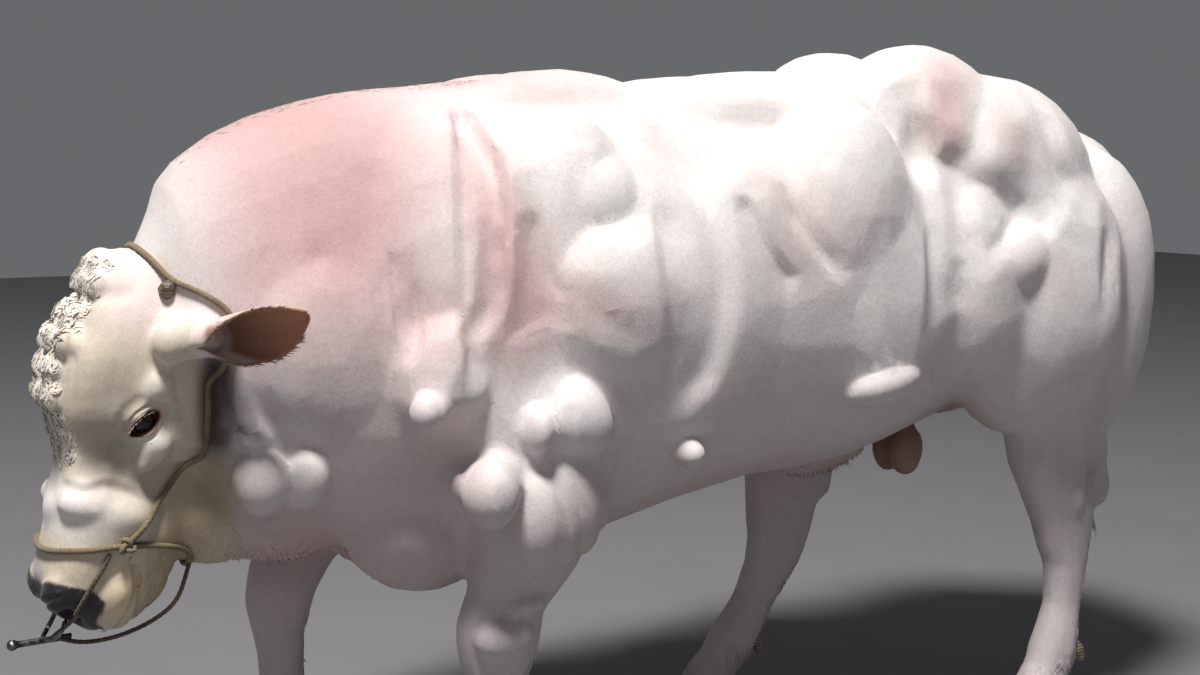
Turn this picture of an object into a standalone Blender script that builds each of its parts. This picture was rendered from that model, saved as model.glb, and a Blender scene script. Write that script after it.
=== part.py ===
"""Belgian Blue bull at life size, walking with its head carried low.

Frame: metres, +Z up, the head toward -X, the bull's own left side toward -Y.
The flesh is one closed form, made of tapering tubes and muscle masses that
are melted together, creased where two muscles meet, and then parted into
nodes by flat cuts with a 0.3 mm gap between the faces.
"""
import math

import bmesh
import bpy
import numpy as np
from mathutils import Matrix, Vector
from mathutils.bvhtree import BVHTree

GAP = 0.0003
BODY_VOXEL = 0.0095
HEAD_VOXEL = 0.0050
BODY_TRIANGLES = 5600
HEAD_TRIANGLES = 3000

POLL = (-1.235, 0.0, 1.095)
NOSE_DOWN = -74.0
HEAD_YAW = 4.0

WHITE = (0.86, 0.83, 0.80)
CREAM = (0.80, 0.74, 0.62)
PINK = (0.78, 0.56, 0.50)


# ---------------------------------------------------------------- scene tools


def clear_scene():
    """Empty the scene of everything that a new file starts with."""
    for item in list(bpy.data.objects):
        bpy.data.objects.remove(item)
    for pool in (bpy.data.meshes, bpy.data.materials):
        for item in list(pool):
            pool.remove(item)


def material(name, colour, roughness, metallic=0.0):
    """Plain Principled finish of one node."""
    made = bpy.data.materials.new(name)
    made.use_nodes = True
    shader = made.node_tree.nodes["Principled BSDF"]
    shader.inputs["Base Color"].default_value = (*colour, 1.0)
    shader.inputs["Roughness"].default_value = roughness
    shader.inputs["Metallic"].default_value = metallic
    return made


def new_object(name, verts, faces):
    """Object with a closed mesh, its faces turned outward."""
    mesh = bpy.data.meshes.new(name)
    mesh.from_pydata([tuple(map(float, v)) for v in verts], [], [tuple(f) for f in faces])
    made = bpy.data.objects.new(name, mesh)
    bpy.context.scene.collection.objects.link(made)
    tidy(made, 0.0)
    return made


def tidy(made, weld):
    """Weld close points, fill no holes, and turn every face outward."""
    shape = bmesh.new()
    shape.from_mesh(made.data)
    if weld:
        bmesh.ops.remove_doubles(shape, verts=shape.verts, dist=weld)
        bmesh.ops.dissolve_degenerate(shape, edges=shape.edges, dist=weld)
    bmesh.ops.recalc_face_normals(shape, faces=shape.faces)
    shape.to_mesh(made.data)
    shape.free()


def drop(made):
    """Take an object out of the file."""
    bpy.data.objects.remove(made)


def apply_stack(made):
    """Replace the mesh by what its modifiers make of it."""
    graph = bpy.context.evaluated_depsgraph_get()
    graph.update()
    result = bpy.data.meshes.new_from_object(made.evaluated_get(graph))
    made.modifiers.clear()
    made.data = result


def copy_of(made, name):
    """Second object with its own mesh."""
    twin = bpy.data.objects.new(name, made.data.copy())
    bpy.context.scene.collection.objects.link(twin)
    return twin


def points_of(made):
    """Vertex positions and vertex normals of an object as two arrays."""
    count = len(made.data.vertices)
    spots = np.empty(count * 3)
    turns = np.empty(count * 3)
    made.data.vertices.foreach_get("co", spots)
    made.data.vertices.foreach_get("normal", turns)
    return spots.reshape(-1, 3), turns.reshape(-1, 3)


def set_points(made, spots):
    """Write vertex positions back to an object."""
    made.data.vertices.foreach_set("co", spots.ravel())
    made.data.update()


def moved(made, matrix):
    """Carry an object's mesh through a matrix."""
    made.data.transform(matrix)
    made.data.update()
    return made


def swollen(made, amount, name="swollen"):
    """Copy of an object whose skin stands out by a small amount."""
    twin = copy_of(made, name)
    spots, turns = points_of(twin)
    set_points(twin, spots + turns * amount)
    return twin


def boolean(made, cutter, operation, keep=False):
    """Join, cut or intersect by another closed object."""
    step = made.modifiers.new("step", "BOOLEAN")
    step.operation = operation
    step.solver = "EXACT"
    step.object = cutter
    cutter.hide_render = True
    cutter.display_type = "WIRE"
    apply_stack(made)
    if not keep:
        drop(cutter)
    return made


def largest_shell(made):
    """Keep only the largest closed surface of an object."""
    shape = bmesh.new()
    shape.from_mesh(made.data)
    shape.verts.ensure_lookup_table()
    seen, shells = set(), []
    for start in shape.verts:
        if start.index in seen:
            continue
        stack, shell = [start], []
        seen.add(start.index)
        while stack:
            here = stack.pop()
            shell.append(here)
            for edge in here.link_edges:
                there = edge.other_vert(here)
                if there.index not in seen:
                    seen.add(there.index)
                    stack.append(there)
        shells.append(shell)
    shells.sort(key=len)
    extra = [v for shell in shells[:-1] for v in shell]
    if extra:
        bmesh.ops.delete(shape, geom=extra, context="VERTS")
    shape.to_mesh(made.data)
    shape.free()
    return made


def fitted(made, *neighbours):
    """Trim an object so that it meets its neighbours with the parting gap."""
    for neighbour in neighbours:
        boolean(made, swollen(neighbour, GAP), "DIFFERENCE")
    tidy(made, 0.00004)
    return largest_shell(made)


# ------------------------------------------------------------- closed shapes


def spline(rows, per):
    """Smooth rows of numbers that run through the given rows."""
    rows = np.array(rows, float)
    ends = np.vstack([2 * rows[0] - rows[1], rows, 2 * rows[-1] - rows[-2]])
    steps = np.arange(per)[:, None] / per
    parts = []
    for a, b, c, d in zip(ends, ends[1:], ends[2:], ends[3:]):
        parts.append(0.5 * (2 * b + (c - a) * steps + (2 * a - 5 * b + 4 * c - d) * steps**2
                            + (3 * b - a - 3 * c + d) * steps**3))
    return np.vstack([*parts, rows[-1:]])


def loft(name, rows, sides=28, per=5, power=2.2, taper=0.0):
    """Tube through rows of x, y, z, half width along Y, half depth.

    A positive taper makes the tube wider on the side its depth axis points
    to and narrower on the other.
    """
    rows = spline(rows, per)
    spine, width, depth = rows[:, :3], rows[:, 3], rows[:, 4]
    along = np.gradient(spine, axis=0)
    along /= np.linalg.norm(along, axis=1)[:, None]
    across = np.array([0.0, 1.0, 0.0]) - along * along[:, 1:2]
    across /= np.linalg.norm(across, axis=1)[:, None]
    out = np.cross(along, across)
    angle = np.arange(sides) * 2 * math.pi / sides
    cosine = np.sign(np.cos(angle)) * np.abs(np.cos(angle)) ** (2 / power)
    sine = np.sign(np.sin(angle)) * np.abs(np.sin(angle)) ** (2 / power)
    verts = []
    for i in range(len(spine)):
        wide = width[i] * cosine * (1 + taper * sine)
        verts.extend(spine[i] + np.outer(wide, across[i]) + np.outer(depth[i] * sine, out[i]))
    faces = []
    for i in range(len(spine) - 1):
        for j in range(sides):
            k = (j + 1) % sides
            faces.append((i * sides + j, i * sides + k, (i + 1) * sides + k, (i + 1) * sides + j))
    last = (len(spine) - 1) * sides
    faces.append(tuple(range(sides))[::-1])
    faces.append(tuple(range(last, last + sides)))
    return new_object(name, verts, faces)


def ball(centre, radii, lean=0.0, yaw=0.0, roll=0.0, detail=3, name="ball"):
    """Ellipsoid; lean turns it about Y, yaw about Z and roll about X, in degrees."""
    shape = bmesh.new()
    bmesh.ops.create_icosphere(shape, subdivisions=detail, radius=1.0)
    mesh = bpy.data.meshes.new(name)
    shape.to_mesh(mesh)
    shape.free()
    made = bpy.data.objects.new(name, mesh)
    bpy.context.scene.collection.objects.link(made)
    turn = (Matrix.Rotation(math.radians(yaw), 4, "Z") @ Matrix.Rotation(math.radians(lean), 4, "Y")
            @ Matrix.Rotation(math.radians(roll), 4, "X"))
    return moved(made, Matrix.Translation(centre) @ turn @ Matrix.Diagonal((*radii, 1.0)))


def cord(name, route, radius, sides=6, per=4, closed=False, aside=(0.3, 0.2, 0.93)):
    """Round cord along a route of points; a closed one joins its own start."""
    spine = spline(route, per)
    if closed:
        spine = spine[:-1]
        along = np.roll(spine, -1, axis=0) - np.roll(spine, 1, axis=0)
    else:
        along = np.gradient(spine, axis=0)
    along /= np.linalg.norm(along, axis=1)[:, None]
    side = np.cross(along[0], aside)
    verts = []
    for here, ahead in zip(spine, along):
        side = np.array(aside, float) if closed else side
        side = side - ahead * (side @ ahead)
        side /= np.linalg.norm(side)
        up = np.cross(ahead, side)
        for j in range(sides):
            turn = 2 * math.pi * j / sides
            verts.append(here + radius * (math.cos(turn) * side + math.sin(turn) * up))
    faces, count = [], len(spine)
    for i in range(count if closed else count - 1):
        for j in range(sides):
            k, m = (j + 1) % sides, (i + 1) % count
            faces.append((i * sides + j, i * sides + k, m * sides + k, m * sides + j))
    if not closed:
        last = (count - 1) * sides
        faces.append(tuple(range(sides))[::-1])
        faces.append(tuple(range(last, last + sides)))
    return new_object(name, verts, faces)


def block(name, planes, grow=0.0, reach=3.0):
    """Convex solid inside planes, each given as a point and an outward normal."""
    shape = bmesh.new()
    bmesh.ops.create_cube(shape, size=2 * reach)
    for point, normal in planes:
        normal = Vector(normal).normalized()
        spot = Vector(point) + normal * grow
        cut = bmesh.ops.bisect_plane(
            shape, geom=shape.verts[:] + shape.edges[:] + shape.faces[:],
            plane_co=spot, plane_no=normal, clear_outer=True)
        rim = [e for e in cut["geom_cut"] if isinstance(e, bmesh.types.BMEdge)]
        bmesh.ops.contextual_create(shape, geom=rim)
    mesh = bpy.data.meshes.new(name)
    bmesh.ops.recalc_face_normals(shape, faces=shape.faces)
    shape.to_mesh(mesh)
    shape.free()
    made = bpy.data.objects.new(name, mesh)
    bpy.context.scene.collection.objects.link(made)
    return made


def melt(name, pieces, voxel, passes):
    """One closed skin around all the pieces, with its joins softened."""
    mesh = bpy.data.meshes.new(name)
    shape = bmesh.new()
    for piece in pieces:
        shape.from_mesh(piece.data)
        drop(piece)
    shape.to_mesh(mesh)
    shape.free()
    made = bpy.data.objects.new(name, mesh)
    bpy.context.scene.collection.objects.link(made)
    skin = made.modifiers.new("skin", "REMESH")
    skin.mode = "VOXEL"
    skin.voxel_size = voxel
    soft = made.modifiers.new("soft", "SMOOTH")
    soft.factor = 0.5
    soft.iterations = passes
    apply_stack(made)
    return largest_shell(made)


def thinned(made, triangles):
    """Bring an object down to about the given number of triangles."""
    whole = made.modifiers.new("whole", "TRIANGULATE")
    whole.keep_custom_normals = False
    thin = made.modifiers.new("thin", "DECIMATE")
    faces = sum(len(p.vertices) - 2 for p in made.data.polygons)
    thin.ratio = min(1.0, triangles / faces)
    apply_stack(made)
    tidy(made, 0.0)
    return made


def crease(made, route, width, depth, lip=0.35):
    """Sink a furrow along a route, with a low swelling on both its sides."""
    spots, turns = points_of(made)
    line = spline(route, 8)
    near = np.full(len(spots), 1e9)
    for a, b in zip(line, line[1:]):
        step = b - a
        share = np.clip(((spots - a) @ step) / (step @ step), 0, 1)
        near = np.minimum(near, np.linalg.norm(spots - a - share[:, None] * step, axis=1))
    ends = np.minimum(np.linalg.norm(spots - line[0], axis=1), np.linalg.norm(spots - line[-1], axis=1))
    fade = np.clip(ends / (2.5 * width), 0.15, 1)
    r = near / width
    push = -depth * np.exp(-r**2) + lip * depth * np.exp(-((r - 1.9) ** 2))
    hit = near < 4 * width
    spots[hit] += turns[hit] * (push * fade)[hit, None]
    set_points(made, spots)


def seated(made, route, lift, per=4):
    """Route of points laid on an object's skin and raised by a small lift."""
    skin = BVHTree.FromPolygons([v.co for v in made.data.vertices],
                                [p.vertices for p in made.data.polygons])
    laid = []
    for point in spline(route, per):
        spot, normal, _, _ = skin.find_nearest(Vector(point))
        laid.append(np.array(spot + normal * lift))
    return laid


def mirrored(rows):
    """Rows of x, y, z and more with y turned to the other side."""
    return [(row[0], -row[1], *row[2:]) for row in rows]


# ------------------------------------------------------------------ the trunk

TORSO = [
    (-0.93, 0, 0.86, 0.14, 0.18), (-0.84, 0, 0.90, 0.22, 0.36), (-0.72, 0, 0.93, 0.29, 0.455),
    (-0.58, 0, 0.94, 0.33, 0.475), (-0.40, 0, 0.965, 0.355, 0.462), (-0.20, 0, 0.985, 0.37, 0.435),
    (0.0, 0, 1.0, 0.375, 0.415), (0.18, 0, 1.005, 0.37, 0.41), (0.34, 0, 1.03, 0.345, 0.395),
    (0.50, 0, 1.06, 0.31, 0.375), (0.66, 0, 1.09, 0.275, 0.335), (0.80, 0, 1.10, 0.225, 0.265),
    (0.92, 0, 1.10, 0.15, 0.17),
]

NECK = [
    (-0.62, 0, 0.970, 0.290, 0.440), (-0.80, 0, 0.966, 0.265, 0.426), (-0.92, 0, 0.959, 0.240, 0.399),
    (-1.02, 0, 0.942, 0.208, 0.358), (-1.10, 0, 0.922, 0.175, 0.292), (-1.16, 0, 0.910, 0.130, 0.210),
]

# Masses common to both sides, given for the +Y side: centre, radii, lean, yaw, roll.
SIDE_MASSES = [
    ((0.06, 0.130, 1.345), (0.38, 0.12, 0.100), 0, 0, 0),
    ((0.42, 0.150, 1.345), (0.20, 0.15, 0.165), 4, 0, 0),
    ((0.62, 0.190, 1.240), (0.25, 0.155, 0.200), 22, 0, 0),
    ((0.42, 0.255, 1.320), (0.07, 0.06, 0.075), 0, 0, 0),
    ((0.13, 0.270, 1.150), (0.17, 0.12, 0.240), 0, 0, 0),
    ((0.19, 0.300, 0.990), (0.17, 0.085, 0.250), -12, 0, 0),
    ((-0.60, 0.225, 1.08), (0.110, 0.100, 0.280), 20, 0, 0),
    ((-0.50, 0.250, 1.10), (0.130, 0.085, 0.260), 16, 0, 0),
    ((-0.42, 0.100, 1.36), (0.22, 0.09, 0.080), 0, 0, 0),
    ((-0.15, 0.305, 1.000), (0.17, 0.08, 0.270), 12, 0, 0),
    ((-0.70, 0.100, 0.600), (0.17, 0.10, 0.150), 20, 0, 0),
    ((-0.45, 0.110, 0.625), (0.25, 0.10, 0.085), 0, 0, 0),
    ((0.90, 0.120, 1.205), (0.160, 0.095, 0.118), 30, 0, 0),
    ((-0.86, 0.190, 0.930), (0.19, 0.08, 0.190), 0, 0, 0),
]

MID_MASSES = [
    ((-0.93, 0.0, 0.63), (0.19, 0.10, 0.115), 0, 0, 0),
    ((-1.06, 0.0, 0.64), (0.14, 0.085, 0.115), 0, 0, 0),
    ((0.30, 0.0, 0.615), (0.13, 0.045, 0.05), -12, 0, 0),
    ((0.62, 0.0, 0.80), (0.13, 0.12, 0.13), 0, 0, 0),
    ((0.86, 0.0, 1.28), (0.10, 0.07, 0.055), 24, 0, 0),
]

# The shoulder and upper arm: left leg under the body, right leg stepping forward.
SHOULDER = {
    -1: [((-0.38, 0.305, 1.00), (0.17, 0.09, 0.17), 0, 0, 0),
         ((-0.45, 0.270, 0.84), (0.12, 0.08, 0.12), 20, 0, 0),
         ((-0.72, 0.262, 0.88), (0.09, 0.085, 0.12), 12, 0, 0),
         ((-0.58, 0.250, 0.80), (0.12, 0.075, 0.12), 0, 0, 0),
         ((-0.765, 0.330, 0.825), (0.032, 0.038, 0.036), 0, 0, 0),
         ((-0.235, 0.298, 0.705), (0.030, 0.030, 0.026), 0, 0, 0)],
    1: [((-0.42, 0.30, 0.98), (0.17, 0.09, 0.19), 8, 0, 0),
        ((-0.54, 0.31, 0.85), (0.12, 0.08, 0.12), 20, 0, 0),
        ((-0.76, 0.27, 0.87), (0.09, 0.085, 0.13), 12, 0, 0),
        ((-0.66, 0.28, 0.78), (0.12, 0.075, 0.12), 10, 0, 0)],
}

# The thigh: the left one pushes back, the right one swings forward under the belly.
THIGH = {
    -1: [((0.70, 0.265, 0.98), (0.20, 0.125, 0.29), 0, 0, 0),
         ((0.90, 0.190, 0.95), (0.155, 0.115, 0.33), 0, 0, 0),
         ((0.49, 0.262, 1.00), (0.13, 0.11, 0.23), -8, 0, 0),
         ((0.85, 0.205, 0.735), (0.095, 0.070, 0.125), 0, 0, 0),
         ((0.75, 0.120, 0.85), (0.20, 0.11, 0.22), 0, 0, 0),
         ((0.290, 0.305, 0.818), (0.062, 0.040, 0.038), 14, 0, 0)],
    1: [((0.60, 0.265, 0.98), (0.20, 0.125, 0.28), 20, 0, 0),
        ((0.80, 0.190, 0.96), (0.16, 0.115, 0.28), 16, 0, 0),
        ((0.40, 0.260, 0.98), (0.15, 0.11, 0.23), 14, 0, 0),
        ((0.49, 0.205, 0.72), (0.10, 0.075, 0.16), 8, 0, 0),
        ((0.60, 0.120, 0.88), (0.20, 0.11, 0.20), 20, 0, 0)],
}

# Rows of x, y, z, half width, half depth down each leg, for the +Y side.
FORELEG = {
    -1: [(-0.47, 0.215, 1.00, 0.11, 0.16), (-0.485, 0.242, 0.82, 0.104, 0.155),
         (-0.515, 0.240, 0.68, 0.100, 0.134), (-0.540, 0.230, 0.56, 0.092, 0.114),
         (-0.562, 0.220, 0.49, 0.076, 0.090), (-0.577, 0.212, 0.44, 0.066, 0.078),
         (-0.588, 0.208, 0.39, 0.070, 0.083), (-0.590, 0.206, 0.34, 0.064, 0.074),
         (-0.588, 0.205, 0.29, 0.051, 0.057), (-0.588, 0.203, 0.24, 0.043, 0.048),
         (-0.590, 0.202, 0.185, 0.047, 0.052),
         (-0.590, 0.201, 0.145, 0.054, 0.062), (-0.600, 0.200, 0.105, 0.048, 0.053),
         (-0.615, 0.200, 0.065, 0.056, 0.062), (-0.622, 0.200, 0.02, 0.058, 0.066)],
    1: [(-0.50, 0.215, 1.00, 0.11, 0.16), (-0.56, 0.240, 0.83, 0.100, 0.145),
        (-0.66, 0.232, 0.70, 0.090, 0.125), (-0.755, 0.218, 0.59, 0.078, 0.100),
        (-0.830, 0.208, 0.50, 0.064, 0.080), (-0.870, 0.203, 0.435, 0.066, 0.074),
        (-0.882, 0.202, 0.385, 0.062, 0.070), (-0.882, 0.201, 0.32, 0.048, 0.054),
        (-0.880, 0.200, 0.255, 0.042, 0.046), (-0.876, 0.200, 0.195, 0.047, 0.051),
        (-0.872, 0.200, 0.150, 0.054, 0.061), (-0.878, 0.200, 0.108, 0.048, 0.053),
        (-0.890, 0.200, 0.065, 0.056, 0.062), (-0.897, 0.200, 0.02, 0.058, 0.066)],
}

HINDLEG = {
    -1: [(0.68, 0.185, 1.10, 0.13, 0.25), (0.70, 0.210, 0.92, 0.13, 0.28),
         (0.722, 0.218, 0.79, 0.115, 0.215), (0.762, 0.215, 0.69, 0.088, 0.135),
         (0.768, 0.210, 0.60, 0.066, 0.112), (0.785, 0.205, 0.53, 0.053, 0.092),
         (0.815, 0.200, 0.46, 0.050, 0.086), (0.821, 0.200, 0.40, 0.046, 0.076),
         (0.826, 0.200, 0.345, 0.041, 0.058), (0.816, 0.200, 0.255, 0.039, 0.047),
         (0.802, 0.200, 0.195, 0.045, 0.051), (0.790, 0.200, 0.150, 0.051, 0.058),
         (0.772, 0.200, 0.108, 0.047, 0.052), (0.754, 0.200, 0.065, 0.056, 0.063),
         (0.745, 0.200, 0.02, 0.058, 0.066)],
    1: [(0.60, 0.185, 1.10, 0.13, 0.24), (0.53, 0.208, 0.95, 0.13, 0.245),
        (0.450, 0.216, 0.81, 0.115, 0.215), (0.405, 0.213, 0.70, 0.090, 0.165),
        (0.366, 0.208, 0.60, 0.070, 0.138), (0.336, 0.204, 0.52, 0.056, 0.113),
        (0.320, 0.200, 0.445, 0.050, 0.096), (0.313, 0.200, 0.385, 0.046, 0.086),
        (0.288, 0.200, 0.315, 0.042, 0.068), (0.248, 0.200, 0.245, 0.040, 0.053),
        (0.215, 0.200, 0.190, 0.046, 0.052), (0.182, 0.200, 0.145, 0.053, 0.059),
        (0.150, 0.200, 0.105, 0.047, 0.052), (0.122, 0.200, 0.065, 0.056, 0.063),
        (0.110, 0.200, 0.02, 0.058, 0.066)],
}

# Heel bone and the tendon above it, for the +Y side.
HOCK = {
    -1: [(0.925, 0.200, 0.505, 0.029, 0.034), (0.915, 0.203, 0.57, 0.024, 0.030),
         (0.90, 0.205, 0.64, 0.030, 0.045), (0.88, 0.208, 0.74, 0.05, 0.07)],
    1: [(0.432, 0.200, 0.500, 0.029, 0.034), (0.436, 0.203, 0.56, 0.024, 0.030),
        (0.448, 0.205, 0.63, 0.030, 0.045), (0.47, 0.208, 0.73, 0.05, 0.07)],
}
HOCK_BALL = {-1: (0.920, 0.200, 0.495), 1: (0.430, 0.200, 0.488)}

# Loose bulges of muscle above the left knee, as this breed carries them.
ARM_BULGES = {
    -1: [((-0.492, 0.336, 0.794), (0.058, 0.058, 0.072), -20, 0, 0),
         ((-0.572, 0.330, 0.776), (0.028, 0.040, 0.036), 0, 0, 0),
         ((-0.646, 0.324, 0.684), (0.050, 0.060, 0.060), 0, 0, 0),
         ((-0.556, 0.328, 0.640), (0.040, 0.048, 0.066), 0, 0, 0),
         ((-0.455, 0.298, 0.660), (0.042, 0.050, 0.095), -20, 0, 0),
         ((-0.560, 0.265, 0.440), (0.050, 0.026, 0.018), -14, 0, 0),
         ((-0.590, 0.258, 0.390), (0.055, 0.030, 0.035), 0, 0, 0)],
    1: [((-0.60, 0.310, 0.795), (0.055, 0.045, 0.072), 30, 0, 0),
        ((-0.745, 0.270, 0.700), (0.046, 0.040, 0.048), 30, 0, 0),
        ((-0.67, 0.280, 0.670), (0.044, 0.040, 0.055), 40, 0, 0)],
}
THROAT_LUMPS = [
    ((-1.030, 0.168, 0.690), (0.042, 0.046, 0.054), 0, 0, 0),
    ((-0.955, 0.170, 0.690), (0.034, 0.043, 0.052), 0, 0, 0),
    ((-0.912, 0.168, 0.700), (0.016, 0.030, 0.032), 0, 0, 0),
    ((-1.045, 0.192, 0.785), (0.048, 0.026, 0.022), 35, 0, 0),
]


def masses(rows, side):
    """Muscle masses of one side (+1 or -1) as balls."""
    return [ball((c[0], c[1] * side, c[2]), r, lean, yaw * side, roll * side)
            for c, r, lean, yaw, roll in rows]


def flesh():
    """All the tubes and masses of the trunk, neck and legs."""
    pieces = [loft("torso", TORSO, per=4, power=2.15), loft("neck", NECK, per=4, power=2.2, taper=0.12)]
    pieces += masses(MID_MASSES, 1)
    for side in (-1, 1):
        rows = SIDE_MASSES + SHOULDER[side] + THIGH[side] + ARM_BULGES[side] + THROAT_LUMPS
        pieces += masses(rows, side)
        for leg in (FORELEG[side], HINDLEG[side], HOCK[side]):
            pieces.append(loft("leg", leg if side > 0 else mirrored(leg), sides=20, per=4))
        spot = HOCK_BALL[side]
        pieces.append(ball((spot[0], spot[1] * side, spot[2]), (0.034, 0.030, 0.040), 20))
    return pieces


# ------------------------------------------------------------------- the head

# Distance from the poll along the nose, top and bottom height, half width.
FACE = [
    (-0.02, -0.030, -0.150, 0.070), (0.02, 0.016, -0.200, 0.102), (0.07, 0.046, -0.250, 0.122),
    (0.16, 0.064, -0.295, 0.134), (0.25, 0.050, -0.305, 0.128), (0.31, 0.024, -0.294, 0.104),
    (0.36, 0.008, -0.282, 0.092), (0.41, 0.000, -0.270, 0.100), (0.46, -0.008, -0.256, 0.104),
    (0.53, -0.010, -0.236, 0.098), (0.585, -0.014, -0.212, 0.094), (0.618, -0.034, -0.176, 0.078),
    (0.638, -0.064, -0.136, 0.050),
]

# Masses of the head in its own level frame, for the +Y side.
FACE_SIDES = [
    ((-0.200, 0.122, -0.096), (0.045, 0.026, 0.034), 35, 0, 0),
    ((-0.266, 0.104, -0.100), (0.036, 0.033, 0.033), 0, 0, 0),
    ((-0.243, 0.120, -0.082), (0.040, 0.022, 0.018), 28, 0, 0),
    ((-0.300, 0.108, -0.130), (0.062, 0.024, 0.028), 18, 0, 0),
    ((-0.215, 0.092, -0.190), (0.115, 0.046, 0.092), 20, 0, 0),
    ((-0.575, 0.052, -0.052), (0.044, 0.040, 0.036), 0, 0, 0),
    ((-0.565, 0.062, -0.118), (0.056, 0.040, 0.046), 0, 0, 0),
    ((-0.420, 0.066, -0.055), (0.046, 0.042, 0.052), 0, 0, 0),
    ((-0.094, 0.118, -0.108), (0.044, 0.046, 0.040), 0, 0, 0),
]
FACE_MID = [
    ((-0.535, 0.0, -0.205), (0.066, 0.066, 0.036), 0, 0, 0),
    ((-0.060, 0.0, -0.020), (0.080, 0.105, 0.055), 0, 0, 0),
    ((-0.400, 0.0, -0.036), (0.150, 0.050, 0.034), 0, 0, 0),
]

EYE = (-0.264, 0.103, -0.095)
EYE_RADIUS = 0.0225
EYE_SLIT = (0.031, 0.030, 0.0145)
EYE_TILT = 28.0


def head_matrix():
    """From the level frame of the head to the bull."""
    return (Matrix.Translation(POLL) @ Matrix.Rotation(math.radians(HEAD_YAW), 4, "Z")
            @ Matrix.Rotation(math.radians(NOSE_DOWN), 4, "Y"))


def on_head(route):
    """Points of the head's level frame carried to the bull."""
    place = head_matrix()
    return [tuple(place @ Vector(point)) for point in route]


def face_rows():
    """Stations of the head as rows for a loft."""
    return [(-d, 0.0, (top + low) / 2, wide, (top - low) / 2) for d, top, low, wide in FACE]


def head_flesh():
    """Tube and masses of the head, in place on the bull."""
    skull = loft("skull", face_rows(), sides=32, per=4, power=2.5, taper=-0.16)
    pieces = [skull, *masses(FACE_MID, 1)]
    for side in (-1, 1):
        pieces += masses(FACE_SIDES, side)
    place = head_matrix()
    return [moved(piece, place) for piece in pieces]


HEAD_CREASES = [
    # route in the level frame for the +Y side, width, depth
    ([(-0.645, 0.0, -0.150), (-0.620, 0.045, -0.158), (-0.585, 0.080, -0.168),
      (-0.550, 0.095, -0.168), (-0.510, 0.097, -0.157), (-0.470, 0.092, -0.145)], 0.0055, 0.0085),
    ([(-0.300, 0.130, -0.055), (-0.262, 0.138, -0.050), (-0.225, 0.136, -0.070)], 0.0050, 0.0030),
    ([(-0.310, 0.115, -0.055), (-0.350, 0.095, -0.080), (-0.400, 0.090, -0.090)], 0.0090, 0.0030),
    ([(-0.300, 0.110, -0.165), (-0.285, 0.115, -0.220), (-0.250, 0.105, -0.265)], 0.0120, 0.0050),
    ([(-0.615, 0.030, -0.040), (-0.590, 0.066, -0.026), (-0.555, 0.086, -0.050)], 0.0060, 0.0025),
]


# ------------------------------------------------------------------- creases

# Furrows of the left side, as rows of points near the skin, width, depth.
BODY_CREASES = [
    ([(-0.66, -0.16, 1.40), (-0.645, -0.26, 1.30), (-0.65, -0.33, 1.15), (-0.66, -0.35, 1.0),
      (-0.68, -0.36, 0.88)], 0.018, 0.018),
    ([(-0.78, -0.26, 1.08), (-0.785, -0.28, 0.98), (-0.77, -0.29, 0.90)], 0.011, 0.009),
    ([(-0.82, -0.25, 1.10), (-0.83, -0.27, 0.99), (-0.82, -0.28, 0.92)], 0.011, 0.007),
    ([(-0.28, -0.28, 1.32), (-0.22, -0.35, 1.20), (-0.21, -0.38, 1.05), (-0.23, -0.39, 0.90),
      (-0.29, -0.38, 0.80)], 0.022, 0.013),
    ([(-0.05, -0.36, 1.20), (0.00, -0.38, 1.12), (0.06, -0.40, 1.05)], 0.016, 0.011),
    ([(0.31, -0.26, 1.38), (0.325, -0.33, 1.28), (0.33, -0.38, 1.16), (0.33, -0.38, 1.02),
      (0.32, -0.37, 0.90)], 0.026, 0.013),
    ([(0.62, -0.24, 1.34), (0.66, -0.30, 1.24), (0.72, -0.32, 1.14)], 0.022, 0.011),
    ([(0.42, -0.38, 1.06), (0.54, -0.40, 1.12), (0.62, -0.38, 1.17)], 0.022, 0.013),
    ([(0.78, -0.34, 1.12), (0.76, -0.34, 0.98), (0.79, -0.32, 0.82)], 0.022, 0.013),
]


def furrowed(skin):
    """Sink the furrows between the muscles on both sides."""
    for route, width, depth in BODY_CREASES:
        for side in (1, -1):
            laid = seated(skin, [(x, y * side, z) for x, y, z in route], 0.0)
            crease(skin, laid, width, depth)
    soft = skin.modifiers.new("soft", "SMOOTH")
    soft.iterations = 4
    apply_stack(skin)
    return skin


# ------------------------------------------------------------------- regions

HEAD_PLANE = ((-1.092, 0.0, 0.83), (0.972, 0.0, 0.236))
NECK_PLANE = ((-0.76, 0.0, 1.0), (0.969, 0.0, -0.246))


def flipped(plane):
    """The same plane facing the other way."""
    point, normal = plane
    return point, tuple(-n for n in normal)


def leg_region(side, hind):
    """Planes that hold one leg with its upper part."""
    y = float(side)
    if hind and side < 0:
        return [((0.36, 0, 0.8), (-1, 0, -0.12)), ((0, 0.03 * y, 0), (0, -y, 0)),
                ((0, 0.03 * y, 0.70), (0, -0.698 * y, 0.716))]
    if hind:
        return [((0.10, 0, 0.3), (-0.939, 0, 0.344)), ((0, 0.03 * y, 0), (0, -y, 0)),
                ((0, 0.03 * y, 0.72), (0, -0.698 * y, 0.716))]
    if side > 0:
        ends = [((-0.885, 0, 0.59), (-0.81, 0, 0.59)), ((-0.50, 0, 0.70), (0.92, 0, -0.392))]
    else:
        ends = [((-0.70, 0, 0.60), (-0.99, 0, 0.12)), ((-0.36, 0, 0.62), (0.99, 0, -0.12))]
    return ends + [((0, 0.115 * y, 0), (0, -y, 0)), ((0, 0.115 * y, 0.585), (0, -0.636 * y, 0.772))]


HOOF_SLOPE = 0.26
HOOF_TOP = 0.058


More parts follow.
